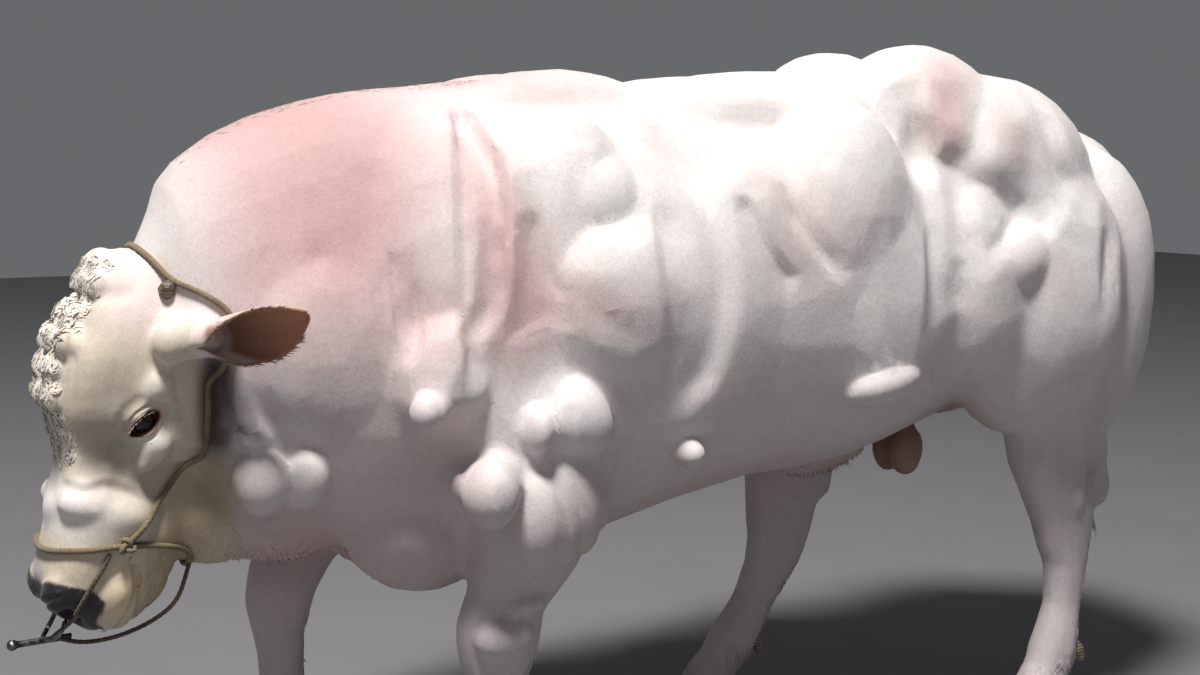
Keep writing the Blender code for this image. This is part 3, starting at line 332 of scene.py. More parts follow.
class Clay:
    """A mesh held as arrays so that its surface can be pushed about."""

    def __init__(self, made: Object) -> None:
        """Take hold of an object's mesh."""
        self.made = made
        self.read()

    def read(self) -> None:
        """Read points, edges and normals from the mesh."""
        mesh = self.made.data
        self.co = np.empty(len(mesh.vertices) * 3)
        mesh.vertices.foreach_get("co", self.co)
        self.co = self.co.reshape(-1, 3)
        edges = np.empty(len(mesh.edges) * 2, np.int64)
        mesh.edges.foreach_get("vertices", edges)
        self.edges = edges.reshape(-1, 2)
        self.turn()

    def write(self) -> None:
        """Write the points back to the mesh."""
        self.made.data.vertices.foreach_set("co", self.co.astype(np.float32).ravel())
        self.made.data.update()

    def turn(self) -> None:
        """Work the normals out again."""
        self.write()
        normal = np.empty(len(self.co) * 3)
        self.made.data.vertex_normals.foreach_get("vector", normal)
        self.normal = normal.reshape(-1, 3)

    def tree(self) -> BVHTree:
        """Search tree over the surface as it is now."""
        self.write()
        bm = bmesh.new()
        bm.from_mesh(self.made.data)
        made = BVHTree.FromBMesh(bm)
        bm.free()
        return made

    def relax(self, rounds: int, weight: Array | None = None, shrink: float = -0.53) -> None:
        """Smooth the surface, without shrinking it unless shrink is 0.

        Args:
            rounds: How many times each point moves to the mean of its neighbours.
            weight: Share of the move for each point.
            shrink: Factor of the step that swells the surface back.
        """
        a, b = self.edges[:, 0], self.edges[:, 1]
        size = len(self.co)
        count = np.maximum(np.bincount(a, minlength=size) + np.bincount(b, minlength=size), 1)
        for _ in range(rounds):
            for step in ((0.5, shrink) if shrink else (0.5,)):
                mean = np.stack([np.bincount(a, self.co[b, k], size) + np.bincount(b, self.co[a, k], size)
                                 for k in range(3)], axis=1) / count[:, None]
                move = (mean - self.co) * step
                self.co += move if weight is None else move * weight[:, None]
        self.turn()

    def refine(self, chosen: Array) -> None:
        """Split the faces whose points are all chosen into four."""
        self.write()
        bm = bmesh.new()
        bm.from_mesh(self.made.data)
        bm.verts.ensure_lookup_table()
        edges = [edge for edge in bm.edges if chosen[edge.verts[0].index] and chosen[edge.verts[1].index]]
        bmesh.ops.subdivide_edges(bm, edges=edges, cuts=1, use_grid_fill=True)
        bm.to_mesh(self.made.data)
        bm.free()
        self.made.data.update()
        self.read()

    def near(self, spots: Array, reach: float) -> Array:
        """Indices of the points within reach of the box round some spots."""
        low, high = spots.min(0) - reach, spots.max(0) + reach
        return np.nonzero(((self.co > low) & (self.co < high)).all(1))[0]

    def furrow(self, route: Array, width: float, depth: float, lip: float = 0.0, lip_side: int = 1,
               fade: float = 0.25) -> None:
        """Sink a furrow along a route, steep under its lip and gentle on the other side.

        Args:
            route: Points on the surface, spaced evenly.
            width: Half width of the furrow.
            depth: Depth of the furrow, or height of a ridge below zero.
            lip: Height of the fold of skin that hangs over it.
            lip_side: 1 or -1 for the side of the route that the fold is on.
            fade: Share of the route over which each end dies away.
        """
        reach = width * (4.2 if lip else 2.4)
        found = self.near(route, reach)
        if not len(found):
            return
        spots, normals = self.co[found], self.normal[found]
        ahead = unit(np.gradient(route, axis=0))
        closest = np.empty(len(found), np.int64)
        for start in range(0, len(found), 4000):
            part = slice(start, start + 4000)
            closest[part] = ((spots[part, None] - route[None]) ** 2).sum(2).argmin(1)
        gap = spots - route[closest]
        rise = (gap * normals).sum(1)
        along = (gap * ahead[closest]).sum(1)
        aside = (gap * np.cross(ahead[closest], normals)).sum(1)
        off = np.hypot(aside, along)
        share = closest / (len(route) - 1)
        strength = ramp(share, 0, fade) * ramp(1 - share, 0, fade) if fade else np.ones(len(share))
        strength = strength * (np.abs(rise) < 0.05)
        push = -depth * np.exp(-((off / width) ** 2))
        if lip:
            over = aside * lip_side
            fold = ramp(over, -0.5 * width, 0.5 * width)
            ends = np.exp(-((along / width) ** 2))
            push = (-depth * np.exp(-((over / (1.5 * width)) ** 2)) * (1 - fold)
                    + lip * np.exp(-((over / (2.2 * width)) ** 2)) * fold) * ends
        self.co[found] += normals * (push * strength)[:, None]

    def press(self, centre: Array, radii: Point, height: float, turn: Array | None = None,
              along: Array | None = None, power: float = 2.0) -> None:
        """Raise or sink a soft mound.

        Args:
            centre: Its centre.
            radii: Half sizes along its own axes.
            height: Height, negative for a hollow.
            turn: Rows are its axes.
            along: Direction to move in, or the normals if None.
            power: 2 for a bell, more for a flat top.
        """
        centre = np.asarray(centre, float)
        found = self.near(centre[None], max(radii) * 2.4)
        local = self.co[found] - centre
        if turn is not None:
            local = local @ np.asarray(turn, float).T
        off = np.sqrt(((local / np.asarray(radii)) ** 2).sum(1))
        way = self.normal[found] if along is None else np.asarray(along, float)[None]
        self.co[found] += way * (height * np.exp(-(off**power)))[:, None]


def seated(tree: BVHTree, route: Array, lift: float = 0.0) -> Array:
    """Move points to the nearest place on a surface, then out from it by lift."""
    laid = []
    for spot in route:
        place, normal, _, _ = tree.find_nearest(Vector(spot))
        laid.append(np.array(place) + np.array(normal) * lift)
    return np.array(laid)


# ---- markings


@dataclass(frozen=True)
class Patch:
    """A soft-edged patch of colour on the coat."""

    spot: Point
    radii: Point
    colour: Point
    strength: float = 1.0
    edge: float = 2.0
    both: bool = True


WHITE: Point = (0.8, 0.775, 0.765)
CREAM: Point = (0.66, 0.575, 0.435)
PINK: Point = (0.59, 0.375, 0.37)
ROSE: Point = (0.59, 0.34, 0.33)
MAUVE_DIRT_AND_SHADE: Point = (0.4, 0.32, 0.325)
BROWN: Point = (0.33, 0.215, 0.15)
CUP_SHADE_RUST: Point = (0.33, 0.135, 0.07)
SLATE: Point = (0.026, 0.022, 0.029)
LID_PINK: Point = (0.6, 0.38, 0.34)
LID_EDGE: Point = (0.075, 0.024, 0.02)
EAR_ROOT: Point = (0.8, 0.66, 0.63)
EAR_TIP: Point = (0.62, 0.48, 0.43)
CURL_TONE: Point = (0.8, 0.77, 0.7)
SWITCH_TONE: Point = (0.7, 0.66, 0.58)
EAR_HAIR_TONE: Point = (0.42, 0.3, 0.23)
LASH_TONE: Point = (0.78, 0.72, 0.62)


@dataclass(frozen=True)
class Markings:
    """Colours of skin and coat, with some painted shade and painted highlights, worked out from a place on
    the bull.
    """

    body: tuple[Patch, ...] = (
        # neck and shoulder, where skin shows through the coat
        Patch((-0.9, 0.2, 1.16), (0.17, 0.24, 0.25), PINK, 0.92, 3.0),
        Patch((-0.9, 0.09, 1.29), (0.23, 0.25, 0.14), (0.51, 0.32, 0.315), 0.9, 3.0),
        Patch((-1.04, 0.14, 1.1), (0.08, 0.16, 0.16), PINK, 0.7),
        Patch((-0.64, 0.27, 1.22), (0.058, 0.18, 0.15), ROSE, 0.6, 3.0),
        Patch((-0.6, 0.32, 1.04), (0.075, 0.16, 0.16), PINK, 0.8, 3.0),
        Patch((-0.55, 0.12, 1.42), (0.22, 0.22, 0.07), PINK, 0.6),
        Patch((-0.47, 0.34, 1.0), (0.14, 0.1, 0.06), PINK, 0.55),
        # painted shade: mauve-grey where the lower neck turns away from the light
        Patch((-0.94, 0.18, 0.9), (0.16, 0.16, 0.1), MAUVE_DIRT_AND_SHADE, 0.45),
        Patch((-0.98, 0.18, 0.705), (0.09, 0.08, 0.05), (0.83, 0.8, 0.78), 0.8, 4.0),
        Patch((-0.8, 0.3, 0.74), (0.12, 0.14, 0.12), ROSE, 0.32),
        Patch((0.395, 0.27, 1.35), (0.05, 0.12, 0.095), ROSE, 0.62, 3.0),
        Patch((0.42, 0.24, 1.44), (0.07, 0.12, 0.06), PINK, 0.5),
        Patch((0.54, 0.3, 1.3), (0.04, 0.1, 0.08), PINK, 0.45),
        Patch((-0.02, 0.36, 1.12), (0.1, 0.1, 0.12), PINK, 0.35),
        Patch((-0.22, 0.3, 1.3), (0.12, 0.1, 0.06), PINK, 0.3),
        # brisket, belly and the inner legs
        Patch((-0.88, 0.0, 0.55), (0.26, 0.16, 0.13), ROSE, 0.62, both=False),
        Patch((0.02, 0.0, 0.6), (0.5, 0.26, 0.1), ROSE, 0.35, both=False),
        # painted shade: brown between the hind legs, where the inner thighs lie in shade
        Patch((0.52, 0.1, 0.72), (0.14, 0.12, 0.14), BROWN, 0.7),
        Patch(PURSE, (0.075, 0.085, 0.1), (0.24, 0.12, 0.085), 0.95, 6.0, both=False),
        Patch((0.3, 0.0, 0.585), (0.07, 0.05, 0.05), BROWN, 0.55, both=False),
    )
    # face, in the level frame of the head
    face: tuple[Patch, ...] = (
        Patch((-0.2, 0.0, -0.1), (0.75, 0.45, 0.4), CREAM, 0.8, 8.0, both=False),
        Patch((-0.02, 0.0, 0.02), (0.11, 0.16, 0.1), (0.8, 0.72, 0.69), 0.85, 3.0, both=False),
        Patch((-0.06, 0.135, -0.06), (0.07, 0.06, 0.07), (0.82, 0.7, 0.68), 0.8, 3.0),
        Patch((-0.22, 0.0, 0.055), (0.18, 0.072, 0.05), (0.8, 0.77, 0.68), 0.8, 4.0, both=False),
        # painted shade: the three darker tan patches below lie in the hollows of the face side
        Patch((-0.32, 0.105, -0.055), (0.1, 0.045, 0.07), (0.36, 0.31, 0.265), 0.82, 3.0),
        Patch((-0.24, 0.13, -0.025), (0.09, 0.05, 0.045), (0.54, 0.47, 0.385), 0.75, 3.0),
        Patch((-0.34, 0.1, -0.13), (0.06, 0.04, 0.05), (0.5, 0.44, 0.375), 0.7, 3.0),
        # painted highlights: lighter colour on the lit tops of the brow and the cheekbone
        Patch((-0.195, 0.14, -0.1), (0.03, 0.03, 0.028), (0.82, 0.79, 0.72), 0.85),
        Patch((-0.297, 0.122, -0.12), (0.034, 0.03, 0.034), (0.84, 0.81, 0.76), 0.85),
        # painted highlight: whiter where the bridge of the nose faces the light
        Patch((-0.44, 0.0, -0.03), (0.062, 0.13, 0.14), (0.88, 0.86, 0.84), 0.95, 4.0, both=False),
        Patch((-0.53, 0.0, -0.05), (0.045, 0.125, 0.08), (0.7, 0.62, 0.47), 0.85, 4.0, both=False),
        Patch((-0.56, 0.0, -0.02), (0.022, 0.05, 0.03), (0.55, 0.53, 0.53), 0.7, 3.0, both=False),
        Patch((-0.556, 0.09, -0.145), (0.06, 0.04, 0.034), (0.82, 0.7, 0.46), 0.92, 3.0),
        # olive tone of the jaw, darkened as painted shade under it
        Patch((-0.51, 0.05, -0.225), (0.1, 0.08, 0.055), (0.5, 0.4, 0.24), 0.8, 3.0),
        Patch((-0.4, 0.06, -0.23), (0.1, 0.08, 0.07), (0.52, 0.43, 0.29), 0.75, 3.0),
    )
    # throat and shoulder, over the colours of the face
    throat: tuple[Patch, ...] = (
        # painted shadow: near-black in the recess between cheek and throat
        Patch((-1.094, 0.158, 0.84), (0.033, 0.09, 0.125), (0.06, 0.042, 0.028), 0.94, 4.0),
        Patch((-0.75, 0.3, 0.98), (0.09, 0.14, 0.1), PINK, 0.6),
        # painted shade: dark brown under the jaw at the throat
        Patch((-1.075, 0.12, 0.68), (0.05, 0.07, 0.07), (0.3, 0.23, 0.15), 0.6, 3.0),
    )

    def at(self, points: Array) -> Array:
        """Colour of each point.

        Args:
            points: Places in the bull's own frame.

        Returns:
            One linear red, green and blue for each.
        """
        colour = np.tile(np.asarray(WHITE), (len(points), 1))
        # darker and mauve toward the bottom: partly dirt on the lower coat, partly painted shade under the
        # body
        colour = blended(colour, MAUVE_DIRT_AND_SHADE, 0.55 * (1 - ramp(points[:, 2], 0.42, 1.02)))
        level = HEAD.level(points)
        head = head_share(points, 0.0, 0.018) * (1 - ramp(level[:, 0], 0.0, 0.03))
        tables = (self.body, points, 1.0), (self.face, level, head), (self.throat, points, 1.0)
        for table, places, limit in tables:
            for patch in table:
                for sign in ((1, -1) if patch.both else (1,)):
                    gap = (places - sided(patch.spot, sign)) / np.asarray(patch.radii)
                    share = patch.strength * np.exp(-(np.sqrt((gap**2).sum(1))**patch.edge)) * limit
                    colour = blended(colour, patch.colour, share)
        return blended(colour, SLATE, leather_at(level) * head)


def head_share(points: Array, low: float, high: float) -> Array:
    """How much of the head each point belongs to, from 0 at the throat to 1."""
    spot, normal = np.array((-1.092, 0.0, 0.83)), unit(np.array((0.972, 0.0, 0.236)))
    return ramp(-((points - spot) @ normal), low, high) * ramp(points[:, 2], 0.3, 0.36)


def leather_at(level: Array) -> Array:
    """Share of wet leather for points in the level frame of the head: the pad of the nose."""
    x, y, z = level[:, 0], np.abs(level[:, 1]), level[:, 2]
    back = -0.577 + 0.016 * ramp(y, 0.03, 0.07) - 0.018 * ramp(-z, 0.085, 0.125)
    under = -0.148 + 0.03 * ramp(y, 0.035, 0.08)
    return ramp(back - x, -0.003, 0.004) * ramp(z - under, -0.004, 0.004)


MARKINGS = Markings()


def paint(made: Object, colour: Array, name: str = "coat") -> None:
    """Store one colour for each point of a mesh."""
    layer = made.data.color_attributes.new(name, "FLOAT_COLOR", "POINT")
    full = np.column_stack([colour, np.ones(len(colour))])
    layer.data.foreach_set("color", full.astype(np.float32).ravel())


# ---- finishes


class Nodes:
    """Adds and joins the shader nodes of one tree."""

    def __init__(self, tree: NodeTree, shader: Node | None = None) -> None:
        """Work in this tree, for this shader."""
        self.tree = tree
        self.shader = shader

    def add(self, kind: str, **settings: object) -> Node:
        """Add a node; settings name its attributes, or its inputs when none has that name."""
        node = self.tree.nodes.new(kind)
        for key, value in settings.items():
            if hasattr(node, key):
                setattr(node, key, value)
            else:
                node.inputs[key.replace("_", " ")].default_value = value
        return node

    def join(self, source: NodeSocket, target: NodeSocket) -> None:
        """Link one socket to another."""
        self.tree.links.new(source, target)

    def feed(self, **sources: NodeSocket) -> None:
        """Link sockets to inputs of the shader, named with _ for a space."""
        for key, source in sources.items():
            self.join(source, self.shader.inputs[key.replace("_", " ")])

    def bump(self, height: NodeSocket, strength: float, distance: float) -> None:
        """Feed a height to the shader's normal."""
        node = self.add("ShaderNodeBump", Strength=strength, Distance=distance)
        self.join(height, node.inputs["Height"])
        self.feed(Normal=node.outputs["Normal"])

    def here(self) -> NodeSocket:
        """Place on the piece, along the axes of the object."""
        return self.add("ShaderNodeTexCoord").outputs["Object"]

    def painted(self, layer: str) -> NodeSocket:
        """Colour that the mesh stores under this name."""
        return self.add("ShaderNodeVertexColor", layer_name=layer).outputs["Color"]

    def maths(self, operation: str, first: object, second: object = 0.0) -> NodeSocket:
        """Add a Math node; each operand is a socket or a number."""
        node = self.add("ShaderNodeMath", operation=operation)
        for slot, given in zip(node.inputs, (first, second)):
            if isinstance(given, NodeSocket):
                self.join(given, slot)
            else:
                slot.default_value = given
        return node.outputs[0]

    def span(self, value: NodeSocket, low: float, high: float, to_low: float = 0.0,
             to_high: float = 1.0) -> NodeSocket:
        """Stretch a value from one range to another, clamped."""
        node = self.add("ShaderNodeMapRange")
        self.join(value, node.inputs["Value"])
        for key, given in (("From Min", low), ("From Max", high), ("To Min", to_low), ("To Max", to_high)):
            node.inputs[key].default_value = given
        return node.outputs["Result"]

    def mix(self, share: object, first: object, second: object, blend: str = "MIX") -> NodeSocket:
        """Mix two colours; each operand is a socket or a value."""
        node = self.add("ShaderNodeMix", data_type="RGBA", blend_type=blend)
        for index, given in ((0, share), (6, first), (7, second)):
            if isinstance(given, NodeSocket):
                self.join(given, node.inputs[index])
            elif isinstance(given, tuple):
                node.inputs[index].default_value = (*given[:3], 1.0)
            else:
                node.inputs[index].default_value = given
        return node.outputs[2]

    def noise(self, vector: NodeSocket, scale: float, detail: float = 3.0,
              stretch: Point | None = None) -> NodeSocket:
        """Noise on a vector, stretched along the axes if asked."""
        if stretch:
            mapping = self.add("ShaderNodeMapping")
            mapping.inputs["Scale"].default_value = stretch
            self.join(vector, mapping.inputs["Vector"])
            vector = mapping.outputs["Vector"]
        node = self.add("ShaderNodeTexNoise", Scale=scale, Detail=detail)
        self.join(vector, node.inputs["Vector"])
        return node.outputs["Fac"]


def effect(name: str, inputs: Iterable[tuple[str, str, object]], outputs: Iterable[tuple[str, str]],
           build: Callable[[Nodes, Node, Node], None]) -> NodeTree:
    """Make a shader node group.

    Args:
        name: Name of the group.
        inputs: Name, kind and default of each input.
        outputs: Name and kind of each output.
        build: Function that fills the group in.

    Returns:
        The group.
    """
    group = bpy.data.node_groups.new(name, "ShaderNodeTree")
    for label, kind, value in inputs:
        socket = group.interface.new_socket(label, in_out="INPUT", socket_type=f"NodeSocket{kind}")
        socket.default_value = value
    for label, kind in outputs:
        group.interface.new_socket(label, in_out="OUTPUT", socket_type=f"NodeSocket{kind}")
    nodes = Nodes(group)
    build(nodes, nodes.add("NodeGroupInput"), nodes.add("NodeGroupOutput"))
    return group


def build_short_coat(nodes: Nodes, given: Node, out: Node) -> None:
    """Streaks of short hair, faint clumping and skin pores as one height."""
    here = nodes.here()
    hair = nodes.noise(here, 1.0, 2.0, (520.0, 520.0, 120.0))
    clump = nodes.noise(here, 46.0, 3.0)
    waves = nodes.noise(here, 14.0, 2.0)
    height = nodes.maths("MULTIPLY", hair, given.outputs["Hair"])
    height = nodes.maths("ADD", height, nodes.maths("MULTIPLY", clump, given.outputs["Clump"]))
    height = nodes.maths("ADD", height, nodes.maths("MULTIPLY", waves, given.outputs["Wave"]))
    nodes.join(height, out.inputs["Height"])
    nodes.join(hair, out.inputs["Streak"])


def build_mottle(nodes: Nodes, given: Node, out: Node) -> None:
    """Uneven colour: broad soft clouds and fine specks over a base colour."""
    here = nodes.here()
    cloud = nodes.span(nodes.noise(here, 5.5, 4.0), 0.32, 0.68, 0.0, 1.0)
    speck = nodes.span(nodes.noise(here, 90.0, 2.0), 0.35, 0.7, 0.0, 1.0)
    share = nodes.maths("MULTIPLY", cloud, given.outputs["Amount"])
    colour = nodes.mix(share, given.outputs["Colour"], given.outputs["Tint"], "MULTIPLY")
    fleck = nodes.maths("MULTIPLY", speck, given.outputs["Speck"])
    colour = nodes.mix(fleck, colour, (0.72, 0.68, 0.66), "MULTIPLY")
    nodes.join(colour, out.inputs["Colour"])
    nodes.join(cloud, out.inputs["Cloud"])


class Effects:
    """Shader node groups shared by the finishes, each built once."""

    def __init__(self) -> None:
        """Build the groups."""
        self.short_coat = effect(
            "short_coat",
            [("Hair", "Float", 0.5), ("Clump", "Float", 0.3), ("Wave", "Float", 0.2)],
            [("Height", "Float"), ("Streak", "Float")], build_short_coat)
        self.mottle = effect(
            "mottle",
            [("Colour", "Color", (0.8, 0.8, 0.8, 1.0)), ("Tint", "Color", (0.8, 0.7, 0.7, 1.0)),
             ("Amount", "Float", 0.3), ("Speck", "Float", 0.1)],
            [("Colour", "Color"), ("Cloud", "Float")], build_mottle)


EFFECTS = Effects()


def shader(name: str, **constants: object) -> tuple[Material, Nodes]:
    """Start a material.

    Args:
        name: Its name.
        constants: Inputs of the Principled shader, with _ for a space.

    Returns:
        The material, and its nodes with the Principled shader as the one they feed.
    """
    made = bpy.data.materials.new(name)
    made.use_nodes = True
    principled = next(n for n in made.node_tree.nodes if n.type == "BSDF_PRINCIPLED")
    for key, value in constants.items():
        principled.inputs[key.replace("_", " ")].default_value = value
    return made, Nodes(made.node_tree, principled)


def placed_group(nodes: Nodes, group: NodeTree, **values: object) -> Node:
    """Put a group in a material with its own values."""
    node = nodes.add("ShaderNodeGroup", node_tree=group)
    for key, value in values.items():
        node.inputs[key].default_value = value
    return node


@dataclass(frozen=True)
class HideFinish:
    """Short coat over skin, with bare dark leather where the mask says so."""

    name: str = "hide"
    roughness: float = 0.62
    hair: float = 0.55

    def build(self) -> Material:
        """Make the material."""
        made, nodes = shader(self.name, Sheen_Weight=0.12, Sheen_Roughness=0.5, Specular_IOR_Level=0.35)
        part = nodes.add("ShaderNodeSeparateColor")
        nodes.join(nodes.painted("kind"), part.inputs["Color"])
        leather, bare = part.outputs[0], part.outputs[1]
        mottle = placed_group(nodes, EFFECTS.mottle, Tint=(0.93, 0.84, 0.83, 1.0), Amount=0.55, Speck=0.22)
        nodes.join(nodes.painted("coat"), mottle.inputs["Colour"])
        coat = placed_group(nodes, EFFECTS.short_coat, Hair=self.hair, Clump=0.35, Wave=0.6)
        streak = nodes.span(coat.outputs["Streak"], 0.3, 0.7, 0.88, 1.04)
        shade = nodes.add("ShaderNodeCombineColor")
        for slot in shade.inputs:
            nodes.join(streak, slot)
        nodes.feed(Base_Color=nodes.mix(1.0, mottle.outputs["Colour"], shade.outputs[0], "MULTIPLY"))
        rough = nodes.maths("SUBTRACT", self.roughness, nodes.maths("MULTIPLY", leather, 0.3))
        rough = nodes.maths("SUBTRACT", rough, nodes.maths("MULTIPLY", bare, 0.16))
        nodes.feed(Roughness=rough)
        pebble = nodes.add("ShaderNodeTexVoronoi", Scale=230.0, feature="F1")
        nodes.join(nodes.here(), pebble.inputs["Vector"])
        pores = nodes.maths("MULTIPLY", nodes.maths("SUBTRACT", 1.0, pebble.outputs["Distance"]), leather)
        fur = nodes.maths("MULTIPLY", coat.outputs["Height"],
                          nodes.maths("SUBTRACT", 1.0, nodes.maths("MULTIPLY", leather, 0.85)))
        nodes.bump(nodes.maths("ADD", fur, nodes.maths("MULTIPLY", pores, 1.4)), 0.55, 0.0016)
        return made


@dataclass(frozen=True)
class LockFinish:
    """Longer hair in locks, in the colour of the coat where each lock is rooted."""

    name: str = "locks"
    roughness: float = 0.58

    def build(self) -> Material:
        """Make the material."""
        made, nodes = shader(self.name, Roughness=self.roughness, Sheen_Weight=0.15,
                             Specular_IOR_Level=0.35)
        mottle = placed_group(nodes, EFFECTS.mottle, Tint=(0.93, 0.86, 0.82, 1.0), Amount=0.4, Speck=0.15)
        nodes.join(nodes.painted("coat"), mottle.inputs["Colour"])
        nodes.feed(Base_Color=mottle.outputs["Colour"])
        nodes.bump(nodes.noise(nodes.here(), 620.0, 2.0), 0.4, 0.00015)
        return made


@dataclass(frozen=True)
class EyeFinish:
    """Dark brown eye with a wide pupil under a wet surface."""

    name: str
    centre: Point
    look: Point
    across: Point
    iris_dark: Point = (0.034, 0.01, 0.007)
    iris_pale: Point = (0.075, 0.024, 0.014)
    pupil: Point = (0.004, 0.003, 0.003)
    ring: Point = (0.02, 0.01, 0.009)
    white_dark: Point = (0.1, 0.035, 0.03)
    white_pale: Point = (0.2, 0.085, 0.07)

    def build(self) -> Material:
        """Make the material."""
        made, nodes = shader(self.name, Roughness=0.14, Coat_Weight=0.35, Coat_Roughness=0.05,
                             Specular_IOR_Level=0.35)
        here = nodes.here()
        move = nodes.add("ShaderNodeVectorMath", operation="SUBTRACT")
        nodes.join(here, move.inputs[0])
        move.inputs[1].default_value = self.centre
        outward = nodes.add("ShaderNodeVectorMath", operation="DOT_PRODUCT")
        sideways = nodes.add("ShaderNodeVectorMath", operation="DOT_PRODUCT")
        for node, way in ((outward, self.look), (sideways, self.across)):
            nodes.join(move.outputs[0], node.inputs[0])
            node.inputs[1].default_value = way
        ahead = nodes.maths("DIVIDE", outward.outputs["Value"], EYE_RADIUS)
        along = nodes.maths("DIVIDE", sideways.outputs["Value"], EYE_RADIUS)
        rest = nodes.maths("SUBTRACT", 1.0, nodes.maths("MULTIPLY", ahead, ahead))
        wide = nodes.maths("MULTIPLY", along, along)
        tall = nodes.maths("SUBTRACT", rest, wide)
        slit = nodes.maths("ADD", nodes.maths("MULTIPLY", tall, 7.0), nodes.maths("MULTIPLY", wide, 2.4))
        radius = nodes.maths("POWER", nodes.maths("MAXIMUM", rest, 0.0), 0.5)
        fibre = nodes.span(nodes.noise(here, 420.0, 3.0), 0.3, 0.7, 0.0, 1.0)
        iris = nodes.mix(fibre, self.iris_dark, self.iris_pale)
        iris = nodes.mix(nodes.span(slit, 0.55, 0.85), self.pupil, iris)
        iris = nodes.mix(nodes.span(radius, 0.66, 0.78), iris, self.ring)
        white = nodes.mix(fibre, self.white_dark, self.white_pale)
        nodes.feed(Base_Color=nodes.mix(nodes.span(radius, 0.84, 0.93), iris, white))
        return made


@dataclass(frozen=True)
class HornFinish:
    """Horn of claws and buds: growth rings, scratches and dull wear."""

    name: str
    dark: Point
    pale: Point
    roughness: float = 0.45

    def build(self) -> Material:
        """Make the material."""
        made, nodes = shader(self.name, Specular_IOR_Level=0.45)
        here = nodes.here()
        bend = nodes.noise(here, 9.0, 2.0)
        wave = nodes.add("ShaderNodeTexWave", wave_type="BANDS", bands_direction="Z", Scale=42.0,
                         Distortion=2.2, Detail=3.0)
        nodes.join(here, wave.inputs["Vector"])
        fibre = nodes.noise(here, 1.0, 3.0, (420.0, 420.0, 60.0))
        share = nodes.maths("MULTIPLY", nodes.maths("ADD", wave.outputs["Fac"], fibre), 0.5)
        colour = nodes.mix(nodes.span(share, 0.25, 0.75), self.dark, self.pale)
        colour = nodes.mix(nodes.span(bend, 0.35, 0.7, 0.0, 0.5), colour, (0.5, 0.42, 0.33), "MULTIPLY")
        rough = nodes.span(fibre, 0.3, 0.7, self.roughness, self.roughness + 0.25)
        nodes.feed(Base_Color=colour, Roughness=rough)
        height = nodes.maths("ADD", nodes.maths("MULTIPLY", wave.outputs["Fac"], 0.8), fibre)
        nodes.bump(height, 0.5, 0.001)
        return made


@dataclass(frozen=True)
class RopeFinish:
    """Worn hemp rope with fibres that stand in its strands."""

    name: str
    dark: Point = (0.12, 0.09, 0.055)
    pale: Point = (0.34, 0.27, 0.17)

    def build(self) -> Material:
        """Make the material."""
        made, nodes = shader(self.name, Roughness=0.9, Sheen_Weight=0.2, Specular_IOR_Level=0.2)
        here = nodes.here()
        fibre = nodes.noise(here, 900.0, 3.0)
        dirt = nodes.noise(here, 30.0, 3.0)
        colour = nodes.mix(nodes.span(fibre, 0.32, 0.68), self.dark, self.pale)
        colour = nodes.mix(nodes.span(dirt, 0.4, 0.7, 0.0, 0.6), colour, (0.42, 0.36, 0.3), "MULTIPLY")
        nodes.feed(Base_Color=colour)
        nodes.bump(fibre, 0.8, 0.0012)
        return made


@dataclass(frozen=True)
class SteelFinish:
    """Dark forged steel, rubbed bright where it is handled."""

    name: str = "steel"
    dark: Point = (0.045, 0.045, 0.05)
    pale: Point = (0.26, 0.26, 0.28)

    def build(self) -> Material:
        """Make the material."""
        made, nodes = shader(self.name, Metallic=1.0, Specular_IOR_Level=0.5)
        here = nodes.here()
        patch = nodes.noise(here, 60.0, 4.0)
        grain = nodes.noise(here, 500.0, 3.0)
        colour = nodes.mix(nodes.span(patch, 0.4, 0.65), self.dark, self.pale)
        nodes.feed(Base_Color=colour, Roughness=nodes.span(grain, 0.3, 0.7, 0.28, 0.52))
        nodes.bump(nodes.maths("ADD", grain, patch), 0.35, 0.0008)
        return made


@dataclass(frozen=True)
class FloorFinish:
    """Plain pale floor."""

    name: str = "floor"
    colour: Point = (0.195, 0.192, 0.2)

    def build(self) -> Material:
        """Make the material."""
        made, nodes = shader(self.name, Roughness=0.85, Specular_IOR_Level=0.2)
        tone = nodes.span(nodes.noise(nodes.here(), 3.0, 4.0), 0.3, 0.7)
        pale = tuple(min(1.0, part * 1.05) for part in self.colour)
        nodes.feed(Base_Color=nodes.mix(tone, self.colour, pale))
        return made


# ---- hide


@dataclass(frozen=True)
class Lobe:
    """A loose bulge of muscle: centre, half sizes and lean, for one side or both."""

    spot: Point
    radii: Point
    lean: float = 0.0
    sides: tuple[int, ...] = (-1, 1)


@dataclass(frozen=True)
class Fold:
    """A furrow in the skin: route, half width, depth, lip and the side the lip is on."""

    route: tuple[Point, ...]
    width: float
    depth: float
    lip: float = 0.0
    lip_side: int = 1
    both: bool = True
    fade: float = 0.25


LEFT = (-1,)
RIGHT = (1,)


